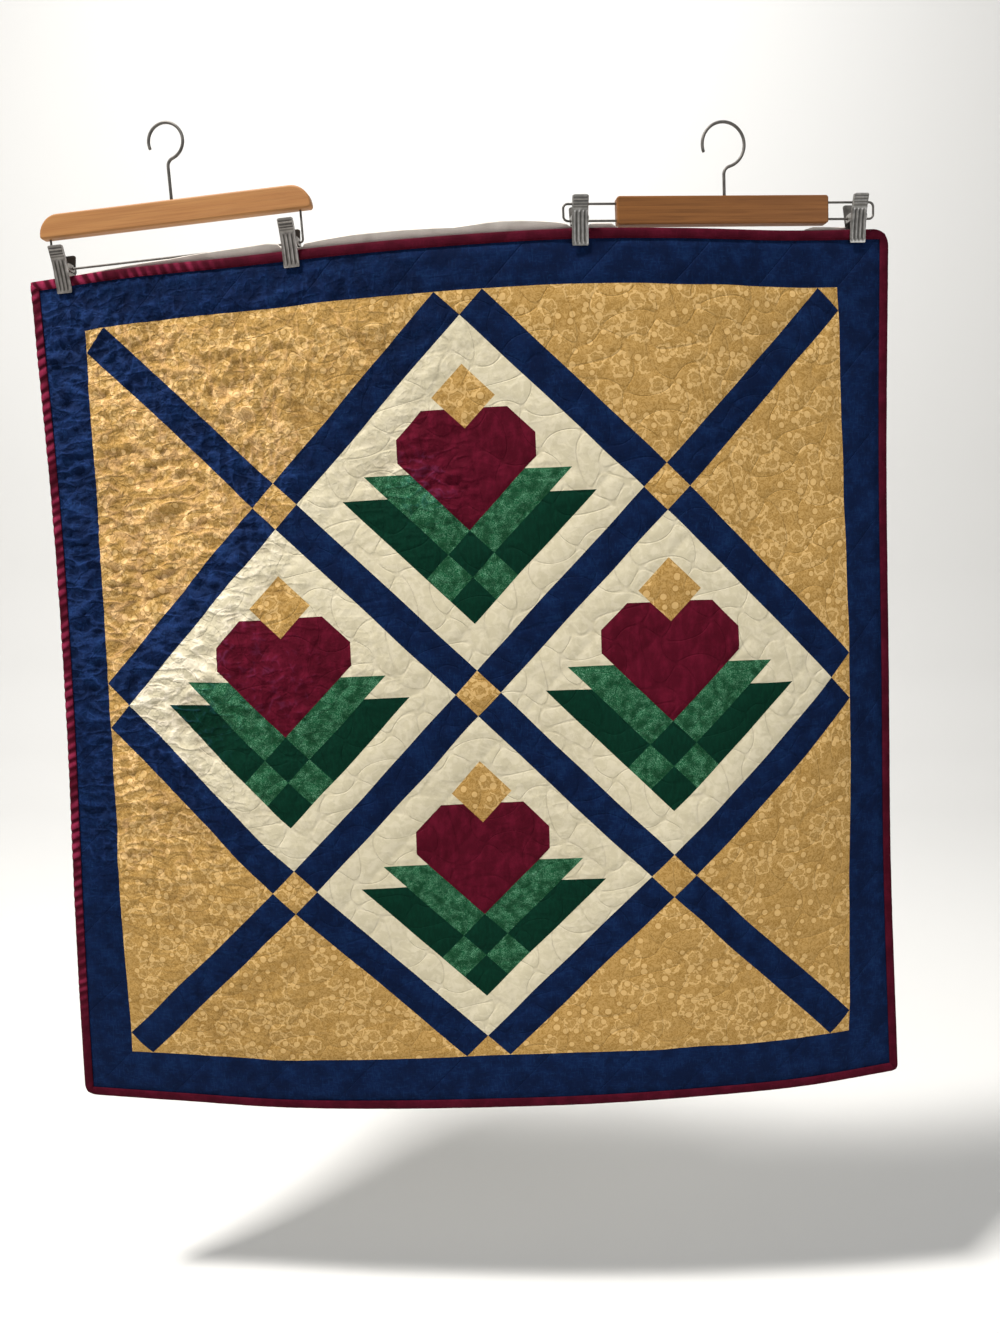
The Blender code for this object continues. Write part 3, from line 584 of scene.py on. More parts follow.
def sprig_print(finish, flat):
    """Feathery light sprigs scribbled on mid green."""
    strokes = finish.noise(flat, 520, 2.0, 0.7, 2.4).eased(0.53, 0.60)
    clumps = finish.noise(flat, 85, 2.0).eased(0.35, 0.65)
    ground = finish.mix(clumps, dye("113f26"), dye("1a5435"))
    return finish.mix(strokes * (0.15 + 0.75 * clumps), ground, dye("6fa283"))


def linen_mottle(finish, flat, dark, mid, light, share=0.5):
    """Solid-dyed cotton with a lighter scrubbed cross-hatch."""
    warp = finish.noise(finish.scaled(flat, (1, 0.22, 1)), 520, 3.0, 0.65)
    weft = finish.noise(finish.scaled(flat, (0.22, 1, 1)), 520, 3.0, 0.65)
    clouds = finish.noise(flat, 40, 3.0, 0.6)
    scrub = (warp.most(weft) * 0.7 + clouds * 0.3).eased(0.50, 0.68)
    return finish.mix(scrub * share, finish.mix(clouds.eased(0.35, 0.65), dark, mid), light)


def shaded_by_relief(finish, colour, highlight_share, highlight_gain):
    """Painted shade in the hollows of the crinkles; painted highlight on their crests, where the colour is
    made the given factor times brighter.
    """
    relief = finish.number("crinkle")
    hollow_shade = relief.eased(0.05, -0.9) * 0.4
    colour = finish.mix(hollow_shade, colour, finish.mix(1.0, colour, (0.46, 0.42, 0.40), "MULTIPLY"))
    return finish.mix(highlight_share, colour, finish.mix(1.0, colour, highlight_gain, "MULTIPLY"))


def ridge(finish, flat, amounts, scale):
    """Soft rounded ridges with wide hollows between them, from 0 to 1."""
    wave = finish.noise(finish.scaled(flat, amounts), scale, 1.0, 0.4, 0.3)
    return abs(wave * 2 - 1).eased(0.30, 0.0)


def fine_crumple(finish, flat):
    """Height of the small creases that slack wadding gives washed cotton, about 1 on most crests."""
    upright = finish.number("upright")
    lying = ridge(finish, flat, (0.42, 1, 1), 66) * (1 - upright)
    standing = ridge(finish, flat, (1, 0.42, 1), 66) * upright
    small = ridge(finish, flat, (1, 1, 1), 120)
    return (lying + standing + small * 0.3) * finish.number("slack")


def quilted_lines(finish):
    """1 along the lines of stitching, 0 between them."""
    return abs(finish.number("stitching")).eased(1.3, 0.1)


def sunk_along(finish, colour, lines):
    """The colour as it looks where lines of stitching pull it into shade."""
    return finish.mix(lines, colour, finish.mix(1.0, colour, (0.45, 0.42, 0.40), "MULTIPLY"))


def pieced_cotton():
    """The face: which patch lies where, worked out in cells from the pattern, and each patch's cloth."""
    finish = Finish("quilt_cotton", Roughness=0.88, Specular_IOR_Level=0.05)
    flat = finish.place("flat")
    u, v, _ = finish.split(flat)
    cells_u, cells_v = u / CELL, v / CELL
    p, q = cells_u + cells_v, cells_u - cells_v
    ap, aq = abs(p), abs(q)

    inner_p, inner_q = (ap < 1) * (aq < SASH_END), (aq < 1) * (ap < SASH_END)
    outer_p, outer_q = ap.between(16, 18) * (aq < 18), aq.between(16, 18) * (ap < 18)
    along_p, along_q = inner_p.most(outer_p), inner_q.most(outer_q)
    stone = along_p * along_q
    sash = along_p.most(along_q) - stone
    block = ap.between(1, 16) * aq.between(1, 16)

    right, left = (p - 1) % 17, (-1 - q) % 17
    low, high = right.least(left), right.most(left)
    total = low + high
    motif = block * (low > 2) * (high < 13)
    patch = motif * (high < 6)
    patch_dark = patch * ((high < 4).most(low > 4))
    leaf = motif * (high > 6) * (low < 6)
    leaf_dark = leaf * (low < 4) * (total < 15)
    leaf_light = leaf * (low > 4) * (total < 17)
    dark_green = patch_dark.most(leaf_dark)
    light_green = (patch - patch_dark).most(leaf_light)
    square = motif * (low > GOLD_SQUARE)
    lobes = motif * (low > 6) - square
    snip_low = ((13 - high) + (low - 6)) < 1
    snip_high = (((13 - high) + (GOLD_SQUARE - low)) < 1) * (low < GOLD_SQUARE)
    heart = lobes * (1 - snip_low.most(snip_high))
    field = abs(u).most(abs(v)) < FIELD

    gold = scroll_print(finish, flat, 0.3)
    shifted = finish.add("Mapping", {"Vector": flat, "Location": (0.31, 0.17, 0)})
    gold_small = scroll_print(finish, shifted, 1.1)
    navy = linen_mottle(finish, flat, dye("091735"), dye("0b1d41"), dye("18345b"))
    threads = finish.noise(finish.scaled(flat, (1, 0.3, 1)), 300, 3.0, 0.6)
    cream = finish.mix(finish.noise(flat, 90, 4.0, 0.6, 1.0).eased(0.42, 0.60), dye("cbc2a6"), dye("d5ccb2"))
    streaks = finish.noise(finish.scaled(flat, (1, 0.45, 1)), 95, 4.0, 0.6).eased(0.40, 0.72)
    tone = (high > GOLD_SQUARE) * 0.3
    wine = finish.mix(streaks * 0.65, finish.mix(tone, dye("4f0c1e"), dye("430917")), dye("68142b"))
    deep = finish.mix(threads.eased(0.4, 0.65) * 0.5, dye("052a1e"), dye("0a3728"))
    sprigs = sprig_print(finish, flat)

    colour = finish.mix(block, gold, cream)
    colour = finish.mix(sash, colour, navy)
    colour = finish.mix(stone.most(square), colour, gold_small)
    colour = finish.mix(heart, colour, wine)
    colour = finish.mix(dark_green, colour, deep)
    colour = finish.mix(light_green, colour, sprigs)
    colour = finish.mix(field, navy, colour)
    crumple = fine_crumple(finish, flat)
    # Painted shade in the crinkles' hollows and painted highlight on the crests of the fine crumple, then a
    # bluish painted sheen screened over the highest crests.
    colour = shaded_by_relief(finish, colour, crumple.eased(0.45, 1.1) * 0.5, (1.7, 1.7, 1.85))
    colour = finish.mix(crumple.eased(0.55, 1.2) * 0.6, colour,
                        finish.mix(1.0, colour, (0.009, 0.018, 0.050), "SCREEN"))
    quilted = quilted_lines(finish)
    finish.feed("Base Color", sunk_along(finish, colour, quilted * 0.08))
    finish.feed("Roughness", threads.eased(0.3, 0.7, 0.80, 0.94))
    relief = crumple * 0.0014 - quilted * 0.0004 + weave(finish, flat) * 0.00009
    finish.bumped(relief, 1.0)
    return finish.material


def plain_cotton(name, dark, mid, light, share=0.5, highlight_gain=(1.12, 1.12, 1.12)):
    """Solid-dyed cotton, with painted highlight on its crests and painted shade in its hollows."""
    finish = Finish(name, Roughness=0.86, Specular_IOR_Level=0.05)
    flat = finish.place("flat")
    colour = linen_mottle(finish, flat, dye(dark), dye(mid), dye(light), share)
    highlight_share = finish.number("crinkle").eased(0.1, 1.0)
    finish.feed("Base Color", shaded_by_relief(finish, colour, highlight_share, highlight_gain))
    finish.bumped(weave(finish, flat) * 0.00009, 1.0)
    return finish.material


def quilted_muslin():
    """The backing: plain muslin with the same stitching through it."""
    finish = Finish("backing_muslin", Roughness=0.86, Specular_IOR_Level=0.05)
    flat = finish.place("flat")
    colour = linen_mottle(finish, flat, dye("cec6b1"), dye("d6cdb8"), dye("ded6c3"), 0.5)
    crumple = fine_crumple(finish, flat)
    quilted = quilted_lines(finish)
    finish.feed("Base Color", sunk_along(finish, colour, quilted * 0.18))
    finish.bumped(crumple * 0.0010 - quilted * 0.0006 + weave(finish, flat) * 0.00009, 1.0)
    return finish.material


# ------------------------------------------------------------------ pieces

def placed(mesh, places):
    """Puts a mesh's points where the rows of places say."""
    mesh.vertices.foreach_set("co", np.asarray(places, np.float32).ravel())
    mesh.update()


def stored(mesh, name, values):
    """Keeps one vector or number for each point, for the finishes to read."""
    values = np.asarray(values, np.float32)
    kind, field = ("FLOAT_VECTOR", "vector") if values.ndim == 2 else ("FLOAT", "value")
    mesh.attributes.new(name, kind, "POINT").data.foreach_set(field, values.ravel())


def show(name, mesh, material, node):
    """A finished piece in the scene, standing for one of the frame's nodes."""
    piece = bpy.data.objects.new(name, mesh)
    bpy.context.scene.collection.objects.link(piece)
    if not mesh.materials:
        mesh.materials.append(material)
    mesh.shade_smooth()
    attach(piece, "root")
    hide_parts(node)
    return piece


FACE_CELLS = 288
BACK_CELLS = 96


def build_quilt(top, backing):
    """Pieced top and backing over thin wadding, one closed body whose edge is inside the binding."""
    bm = bmesh.new()
    bmesh.ops.create_grid(bm, x_segments=FACE_CELLS, y_segments=FACE_CELLS, size=EDGE)
    back = bmesh.ops.create_grid(bm, x_segments=BACK_CELLS, y_segments=BACK_CELLS, size=EDGE)["verts"]
    bmesh.ops.translate(bm, vec=(0, 0, -1), verts=back)
    bm.verts.index_update()
    bmesh.ops.reverse_faces(bm, faces=[f for f in bm.faces if f.calc_center_median().z < -0.5])
    rim = [e for e in bm.edges if e.is_boundary]
    bmesh.ops.bridge_loops(bm, edges=rim)
    for f in bm.faces:
        f.material_index = 0 if min(v.co.z for v in f.verts) > -0.5 else 1
    mesh = bpy.data.meshes.new("quilt_cloth")
    bm.to_mesh(mesh)
    bm.free()
    flat = np.empty(len(mesh.vertices) * 3, np.float32)
    mesh.vertices.foreach_get("co", flat)
    flat = flat.reshape(-1, 3).astype(float)
    u, v = flat[:, 0], flat[:, 1]
    front = flat[:, 2] > -0.5
    out = np.where(front, face_height(u, v), -back_height(u, v))
    placed(mesh, on_cloth(u, v, out))
    pu, pv = pieced(u, v)
    stored(mesh, "flat", np.stack([pu, pv, np.zeros_like(pu)], -1))
    level, upright = slack(u, v)
    stored(mesh, "slack", level)
    stored(mesh, "upright", upright)
    stored(mesh, "stitching", stitching(u, v) * 1000)
    # The crinkle height, which the finishes use to paint shade in the hollows and highlight on the crests.
    stored(mesh, "crinkle", np.clip(creases(u, v) / 0.0026, -1, 1))
    mesh.materials.append(top)
    mesh.materials.append(backing)
    piece = show("quilt_cloth", mesh, top, "quilt")
    2 * EDGE
    2 * EDGE


def wrap_grid(bm, around, along):
    """A grid whose rows and columns are numbered, ready to be closed both ways by its doubles."""
    bmesh.ops.create_grid(bm, x_segments=around, y_segments=along, size=0.5)
    numbers = [((v.co.x + 0.5) * around, (v.co.y + 0.5) * along) for v in bm.verts]
    i, j = np.rint(np.array(numbers)).astype(int).T
    return i, j


def closed_skin(name, bm, places, extra):
    """Closes a wrapped grid at its doubles, after its points are placed and their values stored."""
    mesh = bpy.data.meshes.new(name)
    bm.to_mesh(mesh)
    bm.free()
    placed(mesh, places)
    for key, values in extra.items():
        stored(mesh, key, values)
    bm = bmesh.new()
    bm.from_mesh(mesh)
    bmesh.ops.remove_doubles(bm, verts=bm.verts, dist=0.00001)
    bmesh.ops.dissolve_degenerate(bm, dist=0.000005, edges=bm.edges)
    bmesh.ops.recalc_face_normals(bm, faces=bm.faces)
    if bm.calc_volume(signed=True) < 0:
        bmesh.ops.reverse_faces(bm, faces=bm.faces)
    bm.to_mesh(mesh)
    bm.free()
    return mesh


def build_binding(material):
    """One doubled strip folded over the edge all round, drawn up most along the left side and the
    left part of the top."""
    side = 2 * HALF
    per_side = 640
    length = np.arange(4 * per_side) / per_side
    turn, t = length.astype(int), (length % 1) * side
    wide = BINDING_WIDTH
    face = [(wide, 0.00165), (wide, 0.0024), (wide - 0.0006, 0.00285), (0.0090, 0.00330), (0.0064, 0.00350),
            (0.0038, 0.00335), (0.0018, 0.00280), (0.0006, 0.00170), (0.0000, 0.00040)]
    outer = face[1:] + [(deep, -out) for deep, out in reversed(face[1:])]
    wall = [(wide, -0.00165), (CLOTH, -0.00165), (CLOTH, 0.00165), (wide, 0.00165)]
    section = np.array(outer + wall)
    bm = bmesh.new()
    i, j = wrap_grid(bm, len(length), len(section))
    i, j = i % len(length), j % len(section)
    deep, out = section[j, 0], section[j, 1]
    along = np.clip(t[i], deep, side - deep)
    corner = np.array([(-HALF, -HALF), (HALF, -HALF), (HALF, HALF), (-HALF, HALF)])[turn[i]]
    way = np.array([(1, 0), (0, 1), (-1, 0), (0, -1)])[turn[i]]
    inward = np.array([(0, 1), (-1, 0), (0, -1), (1, 0)])[turn[i]]
    place = corner + way * along[:, None] + inward * deep[:, None]
    u, v = place.T
    edge_u, edge_v = (corner + way * t[i][:, None]).T
    left_side = (turn[i] == 3) * np.clip((edge_v + 0.46) / 0.20, 0, 1)
    top_side = (turn[i] == 2) * np.clip((-0.20 - edge_u) / 0.22, 0, 1)
    level = 0.10 + 0.90 * np.maximum(left_side, top_side)
    run = turn[i] * side + t[i]
    pitch = (run + 0.45 * deep) / GATHER_PITCH + 0.22 * uneven(run / 0.026, turn[i] * 1.0, 31)
    swell = 0.85 + 0.25 * uneven(run / 0.017, deep / 0.02, 32)
    ribs = 1.7 * swell * np.sqrt(np.abs(np.sin(math.pi * pitch)) + 0.01) - 1
    skin = j < len(outer)
    free = np.where(skin, pinched(u, v), 0)
    gather = level * GATHER_RISE * ribs + 0.00018 * uneven(run / 0.012, deep / 0.004, 33)
    out = out + np.sign(out) * free * np.where(np.abs(out) > 0.0016, gather, 0)
    points = on_cloth(u, v, out)
    # The gathers' height, which the finish uses to paint shade in their hollows and highlight on their
    # crests.
    crinkle = np.clip(level * 1.5 * ribs, -1, 1)
    flat = np.stack([run, deep + np.where(out < 0, 0.03, 0), np.zeros_like(run)], -1)
    mesh = closed_skin("binding_strip", bm, points, {"flat": flat, "crinkle": crinkle})
    piece = show("binding_strip", mesh, material, "binding")
    4 * side


def build_sleeve(material):
    """A flattened tube of muslin behind the top edge, its fold standing a little above it."""
    places = np.arange(SLEEVE_LIPS[0].place, SLEEVE_LIPS[-1].place + 1, 3.5) / 1000
    places = np.append(places[:-1], SLEEVE_LIPS[-1].place / 1000)
    marks, rises = zip(*SLEEVE_LIPS)
    rise = np.interp(places * 1000, marks, rises) / 1000
    inner = BINDING_HALF + GAP + SLEEVE_CLOTH / 2
    outer = inner + SLEEVE_CLOTH + SLEEVE_SPACE
    top = HALF + rise
    low = np.full_like(rise, HALF - SLEEVE_DROP)
    waist = np.full_like(rise, HALF - SLEEVE_WAIST)
    near, far = np.full_like(rise, -inner), np.full_like(rise, -outer)
    shoulder = HALF + np.minimum(0.0010, rise - 0.0030)
    stand = top - shoulder
    tip = SLEEVE_TIP * np.clip((rise - 0.002) / 0.004, 0, 1)
    fold = SLEEVE_CLOTH * 0.8
    corners = [(top - fold, tip - inner), (shoulder + 0.45 * stand, 0.45 * tip - inner),
               (shoulder, near), (waist, near), (low, near), (low, far), (waist, far), (shoulder, far),
               (shoulder + 0.50 * stand, 0.45 * tip - outer), (top, tip - outer)]
    corners = np.array([np.stack(pair, -1) for pair in corners])          # corner, station, (v, out)
    count = len(corners)
    before, after = np.roll(corners, 1, 0), np.roll(corners, -1, 0)

    def unit(vectors):
        return vectors / np.linalg.norm(vectors, axis=-1, keepdims=True)

    run = unit(corners - before) + unit(after - corners)
    for k in (0, count // 2 - 1, count // 2, count - 1):
        run[k] = after[k] - before[k]
    away = unit(np.stack([run[..., 1], -run[..., 0]], -1))
    steps = (3, 3, 8, 9, 2, 9, 8, 3, 3, 3)                               # faces from each corner to the next
    rows = [(k, s / steps[k]) for k in range(count) for s in range(steps[k])]
    skins = []
    for side in (1, -1):
        skin = corners + away * side * SLEEVE_CLOTH / 2
        skins.append(np.array([skin[k] * (1 - f) + skin[(k + 1) % count] * f for k, f in rows]))
    stations = len(places)
    bm = bmesh.new()
    i, j = wrap_grid(bm, len(rows), 2 * stations)
    i, j = i % len(rows), j % (2 * stations)
    outside = j < stations
    station = np.where(outside, j, 2 * stations - 1 - j)
    at = np.where(outside[:, None], skins[0][i, station], skins[1][i, station])
    u, v, out = places[station], at[:, 0], at[:, 1]
    panel = np.clip((HALF - 0.004 - v) / 0.010, 0, 1) * np.clip((v - HALF + SLEEVE_DROP) / 0.010, 0, 1)
    behind = out < -(inner + outer) / 2
    out = out - np.where(behind, panel * 0.0009 * (1 + uneven(u / 0.035, v / 0.02, 41)), 0)
    points = on_cloth(u, v, out)
    # A made-up crinkle that the sleeve's shape does not have: it only paints shade in its hollows and
    # highlight on its crests.
    crinkle = np.clip(0.8 * uneven(u / 0.012, v / 0.02, 42), -1, 1)
    flat = np.stack([u, v + np.where(behind, 0.3, 0), np.zeros_like(u)], -1)
    mesh = closed_skin("sleeve_muslin", bm, points, {"flat": flat, "crinkle": crinkle})
    piece = show("sleeve_tube", mesh, material, "hanging_sleeve")


# ------------------------------------------------------------------ wood and metal finishes

def varnished_wood(name, pale, mid, dark, fine):
    """Flat-sawn wood under satin varnish; the grain runs along the bar."""
    finish = Finish(name, Roughness=0.5, Coat_Weight=0.06, Coat_Roughness=0.3, Specular_IOR_Level=0.2)
    grain = finish.place("grain")
    bands = finish.noise(finish.scaled(grain, (2.2, 30, 45)), 3.2, 3.0, 0.55, 0.4)
    streaks = finish.noise(finish.scaled(grain, (9, 400, 520)), 1.0, 3.0, 0.6)
    pores = finish.noise(finish.scaled(grain, (55, 1500, 1500)), 1.0, 2.0, 0.5).eased(0.60, 0.72)
    colour = finish.mix(bands.eased(0.34, 0.66), dye(mid), dye(pale))
    colour = finish.mix(streaks.eased(0.45, 0.72) * fine, colour, dye(dark))
    colour = finish.mix(pores * 0.5 * fine, colour, dye(dark))
    finish.feed("Base Color", colour)
    finish.feed("Roughness", streaks.eased(0.3, 0.7, 0.44, 0.58))
    finish.bumped(streaks + pores * -0.6, 0.0002, 0.35)
    return finish.material


def nickel_plate(name, dark, light, dullness):
    """Nickel-plated steel, a little dulled, darkened in its grooves."""
    finish = Finish(name, Metallic=1.0, Roughness=0.3)
    place = finish.add("TexCoord", output="Object")
    clouds = finish.noise(place, 160, 3.0, 0.5)
    scuffs = finish.noise(finish.scaled(place, (1, 1, 0.12)), 1400, 3.0, 0.6)
    colour = finish.mix(clouds.eased(0.3, 0.7), dye(dark), dye(light))
    finish.feed("Base Color", finish.mix(finish.number("groove") * 0.85, colour, dye("26231f")))
    finish.feed("Roughness", (clouds * 0.5 + scuffs * 0.5).eased(0.3, 0.7, dullness - 0.06, dullness + 0.08))
    finish.bumped(scuffs, 0.00006, 0.4)
    return finish.material


# ------------------------------------------------------------------ hangers

def hanger_frame(clips):
    """Frame midway between the feet of a hanger's two clips, and half the way between them."""
    feet = [Vector(hang(clip.place, HALF - clip.bite)) for clip in clips]
    along = (feet[1] - feet[0]).normalized()
    back = Vector((0, 0, 1)).cross(along).normalized()
    up = along.cross(back)
    frame = Matrix((along, back, up)).transposed().to_4x4()
    frame.translation = (feet[0] + feet[1]) / 2
    return frame, (feet[1] - feet[0]).length / 2


def jaws(clip, frame):
    """How far in front of and behind the hanger's plane the cloth between a clip's jaws reaches."""
    front = back = 0.0
    into = frame.inverted()
    for i in range(-2, 3):
        u = clip.place + i * CLIP_WIDTH / 4
        covered = SLEEVE_LIPS[0].place / 1000 <= u <= SLEEVE_LIPS[-1].place / 1000
        behind = BINDING_HALF + covered * (GAP + 2 * SLEEVE_CLOTH + SLEEVE_SPACE)
        for j in range(5):
            v = HALF - clip.bite * j / 4
            front = min(front, (into @ Vector(on_cloth(u, v, BINDING_HALF))).y)
            back = max(back, (into @ Vector(on_cloth(u, v, -behind))).y)
    return front - GAP, back + GAP


def solid_mesh(bm, name, frame):
    """A closed piece with its faces pointing out, put in its place on a hanger."""
    bmesh.ops.transform(bm, matrix=frame, verts=bm.verts)
    bmesh.ops.recalc_face_normals(bm, faces=bm.faces)
    mesh = bpy.data.meshes.new(name)
    bm.to_mesh(mesh)
    bm.free()
    return mesh


def show_hard(name, mesh, material, node, crease):
    """A rigid piece in the scene, sharp along edges that turn by more than crease degrees."""
    show(name, mesh, material, node)
    mesh.set_sharp_from_angle(angle=math.radians(crease))


def bent_wire(name, start, heading, radius, legs, frame, steel, node):
    """A round wire in a hanger's plane: each leg is a straight length, then a bend's radius and turn."""
    bm = bmesh.new()
    bmesh.ops.create_circle(bm, cap_ends=True, segments=14, radius=radius)
    turned = Matrix.Rotation(-heading, 4, "Y") @ Matrix.Rotation(math.pi / 2, 4, "Y")
    tip = Vector((start[0], WIRE_DEPTH, start[1]))
    bmesh.ops.transform(bm, matrix=Matrix.Translation(tip) @ turned, verts=bm.verts)
    end = bm.faces[:]
    rims = [end[0].edges[:]]
    for length, bend, turn in legs:
        ahead = Vector((math.cos(heading), 0, math.sin(heading)))
        if length:
            made = bmesh.ops.extrude_face_region(bm, geom=end)["geom"]
            moved = [g for g in made if isinstance(g, bmesh.types.BMVert)]
            bmesh.ops.translate(bm, vec=ahead * length, verts=moved)
            end = [g for g in made if isinstance(g, bmesh.types.BMFace)]
            tip += ahead * length
        if turn:
            side = Vector((-ahead.z, 0, ahead.x)) * math.copysign(1, turn)
            centre = tip + side * bend
            steps = max(3, math.ceil(abs(turn) / math.radians(7)))
            made = bmesh.ops.spin(bm, geom=end, cent=centre, axis=(0, -1, 0), angle=turn, steps=steps)
            end = [g for g in made["geom_last"] if isinstance(g, bmesh.types.BMFace)]
            tip = centre + Matrix.Rotation(-turn, 3, "Y") @ (tip - centre)
            heading += turn
    rims.append(end[0].edges[:])
    edges = [e for rim in rims for e in rim if e.is_valid]
    bmesh.ops.bevel(bm, geom=edges, offset=radius * 0.4, offset_type="OFFSET", segments=2, profile=0.5,
                    affect="EDGES", material=-1)
    show_hard(name, solid_mesh(bm, name, frame), steel, node, 50)


def hanger_bar(name, bar, foot_radius, wood, frame, node):
    """A flat wooden bar: round shoulders first, then its long edges eased."""
    bm = bmesh.new()
    bmesh.ops.create_cube(bm, size=1)
    bmesh.ops.scale(bm, vec=(bar.right - bar.left, bar.thick, bar.top - bar.under), verts=bm.verts)
    middle = (bar.top + bar.under) / 2
    bmesh.ops.translate(bm, vec=((bar.left + bar.right) / 2, WIRE_DEPTH, middle), verts=bm.verts)
    for high, radius in ((True, bar.shoulder), (False, foot_radius)):
        ends = [e for e in bm.edges if abs(e.verts[0].co.y - e.verts[1].co.y) > bar.thick / 2
                and (e.verts[0].co.z > middle) == high and abs(e.calc_face_angle(0)) > 1]
        bmesh.ops.bevel(bm, geom=ends, offset=min(radius, 0.99 * (bar.top - bar.under)), offset_type="OFFSET",
                        segments=10, profile=0.5, affect="EDGES", material=-1)
    bmesh.ops.remove_doubles(bm, verts=bm.verts, dist=0.00002)
    sides = [f for f in bm.faces if abs(f.normal.y) > 0.9]
    rims = list({e for f in sides for e in f.edges})
    bmesh.ops.bevel(bm, geom=rims, offset=bar.ease, offset_type="OFFSET", segments=4, profile=0.5,
                    affect="EDGES", material=-1)
    sides = [f for f in bm.faces if abs(f.normal.y) > 0.999 and f.calc_area() > 0.0004]
    bmesh.ops.inset_individual(bm, faces=sides, thickness=0.0006)
    grain = [tuple(v.co) for v in bm.verts]
    mesh = solid_mesh(bm, name, frame)
    stored(mesh, "grain", grain)
    show_hard(name, mesh, wood, node, 60)


def through(profile, count):
    """Rows of a smooth line through (depth, up) points, evenly spread by height."""
    depths, heights = np.array(profile).T
    rows = np.linspace(heights[0], heights[-1], count)
    sharp = np.interp(rows, heights, depths)
    soft = sharp.copy()
    for _ in range(3):
        soft[1:-1] = (soft[:-2] + 2 * soft[1:-1] + soft[2:]) / 4
    return soft, rows


def ramp(start, end, x):
    """0 up to start, rising evenly to 1 at end; start may be the greater."""
    return min(1.0, max(0.0, (x - start) / (end - start)))


def pressed_plate(name, width, profile, side, corner, ribbed, steel, frame, node, reach):
    """A pressed steel plate with ribs and finger grooves, and two hinge ears with their holes."""
    columns, count = 42, 61
    depths, heights = through(profile, count)
    grooves = []
    bm = bmesh.new()
    bmesh.ops.create_grid(bm, x_segments=columns, y_segments=count - 1, size=0.5)
    bmesh.ops.solidify(bm, geom=bm.faces[:], thickness=1.0)
    level = sum(v.co.z for v in bm.verts) / len(bm.verts)
    top = heights[-1]
    for vertex in bm.verts:
        across = vertex.co.x * 2
        j = round((vertex.co.y + 0.5) * (count - 1))
        up, depth = heights[j], depths[j]
        outside = vertex.co.z > level
        rounding = min(1.0, max(0.0, up - (top - corner)) / corner)
        half = width / 2 - corner * (1 - math.sqrt(1 - rounding ** 2))
        half -= 0.0006 * ramp(RIBS[0], 0, up) ** 2
        raised = groove = 0.0
        if ribbed:
            into = ramp(RIBS[0], RIBS[0] + 0.003, up) * ramp(RIBS[1], RIBS[1] - 0.002, up)
            wave = 0.5 - 0.5 * math.cos(math.pi * CLIP_RIBS * (across + 1))
            raised += RIB_RAISE * into * wave * (abs(across) < 0.98)
            groove = into * max(0.0, 0.55 - wave) / 0.55 * (abs(across) < 0.9)
            grip = ramp(GRIP[0], GRIP[0] + 0.001, up) * ramp(GRIP[1], GRIP[1] - 0.001, up)
            grip *= abs(across) < 0.86
            bar = math.sin(2 * math.pi * up / GRIP_PITCH)
            raised += 0.0005 * grip * max(0.0, bar)
            groove = max(groove, (0.5 + 0.4 * max(0.0, -bar)) * grip)
            curl = ramp(0.86, 1, abs(across)) ** 2 * ramp(0.021, 0.025, up)
            depth -= side * 0.0010 * curl
        if outside:
            depth += side * (CLIP_PLATE + raised)
        elif ribbed:
            depth += side * min(raised, CLIP_PLATE) * 0.8
        vertex.co = Vector((across * half, depth, up))
        grooves.append(groove if outside else 0.0)
    hole = WIRE + PIN_CLEARANCE
    for end in (-1, 1):
        outer = bmesh.ops.create_circle(bm, cap_ends=False, segments=28, radius=EAR_BOSS)["verts"]
        far = [v for v in outer if (v.co.y > 0.0001) == (reach > 0) and abs(v.co.y) > 0.0001]
        bmesh.ops.translate(bm, vec=(0, reach, 0), verts=far)
        inner = bmesh.ops.create_circle(bm, cap_ends=False, segments=28, radius=hole)["verts"]
        ring = outer + inner
        rims = list({e for v in ring for e in v.link_edges})
        faces = bmesh.ops.bridge_loops(bm, edges=rims)["faces"]
        walled = bmesh.ops.solidify(bm, geom=faces, thickness=EAR)["geom"]
        tab = set(ring) | {g for g in walled if isinstance(g, bmesh.types.BMVert)}
        tab |= {v for f in walled if isinstance(f, bmesh.types.BMFace) for v in f.verts}
        spot = Matrix.Translation((end * (width / 2 - EAR / 2), WIRE_DEPTH, HINGE_HEIGHT))
        bmesh.ops.rotate(bm, cent=(0, 0, 0), matrix=Matrix.Rotation(math.pi / 2, 3, "Y"), verts=list(tab))
        bmesh.ops.transform(bm, matrix=spot, verts=list(tab))
    mesh = solid_mesh(bm, name, frame)
    stored(mesh, "groove", grooves + [0.0] * (len(mesh.vertices) - len(grooves)))
    show_hard(name, mesh, steel, node, 35)


def coil_spring(name, half, steel, frame, node):
    """A torsion spring's turns around the hinge wire."""
    outside, bore = SPRING, WIRE + PIN_CLEARANCE
    thick = (outside - bore) / 2
    turns = round((2 * half - 2 * thick) / (2 * thick * 1.06))
    steps = 20 * turns
    bm = bmesh.new()
    bmesh.ops.create_circle(bm, cap_ends=True, segments=8, radius=thick)
    bmesh.ops.translate(bm, vec=((bore + outside) / 2, 0, 0), verts=bm.verts)
    stand = Matrix.Rotation(-math.pi / 2, 4, "X")
    bmesh.ops.transform(bm, matrix=stand, verts=bm.verts)
    rise = (2 * half - 2 * thick) / steps
    bmesh.ops.spin(bm, geom=bm.faces[:], cent=(0, 0, 0), axis=(0, 0, 1), dvec=(0, 0, rise), steps=steps,
                   angle=2 * math.pi * turns)
    lay = Matrix.Translation((-half + thick, WIRE_DEPTH, HINGE_HEIGHT)) @ Matrix.Rotation(math.pi / 2, 4, "Y")
    bmesh.ops.transform(bm, matrix=lay, verts=bm.verts)
    show_hard(name, solid_mesh(bm, name, frame), steel, node, 60)


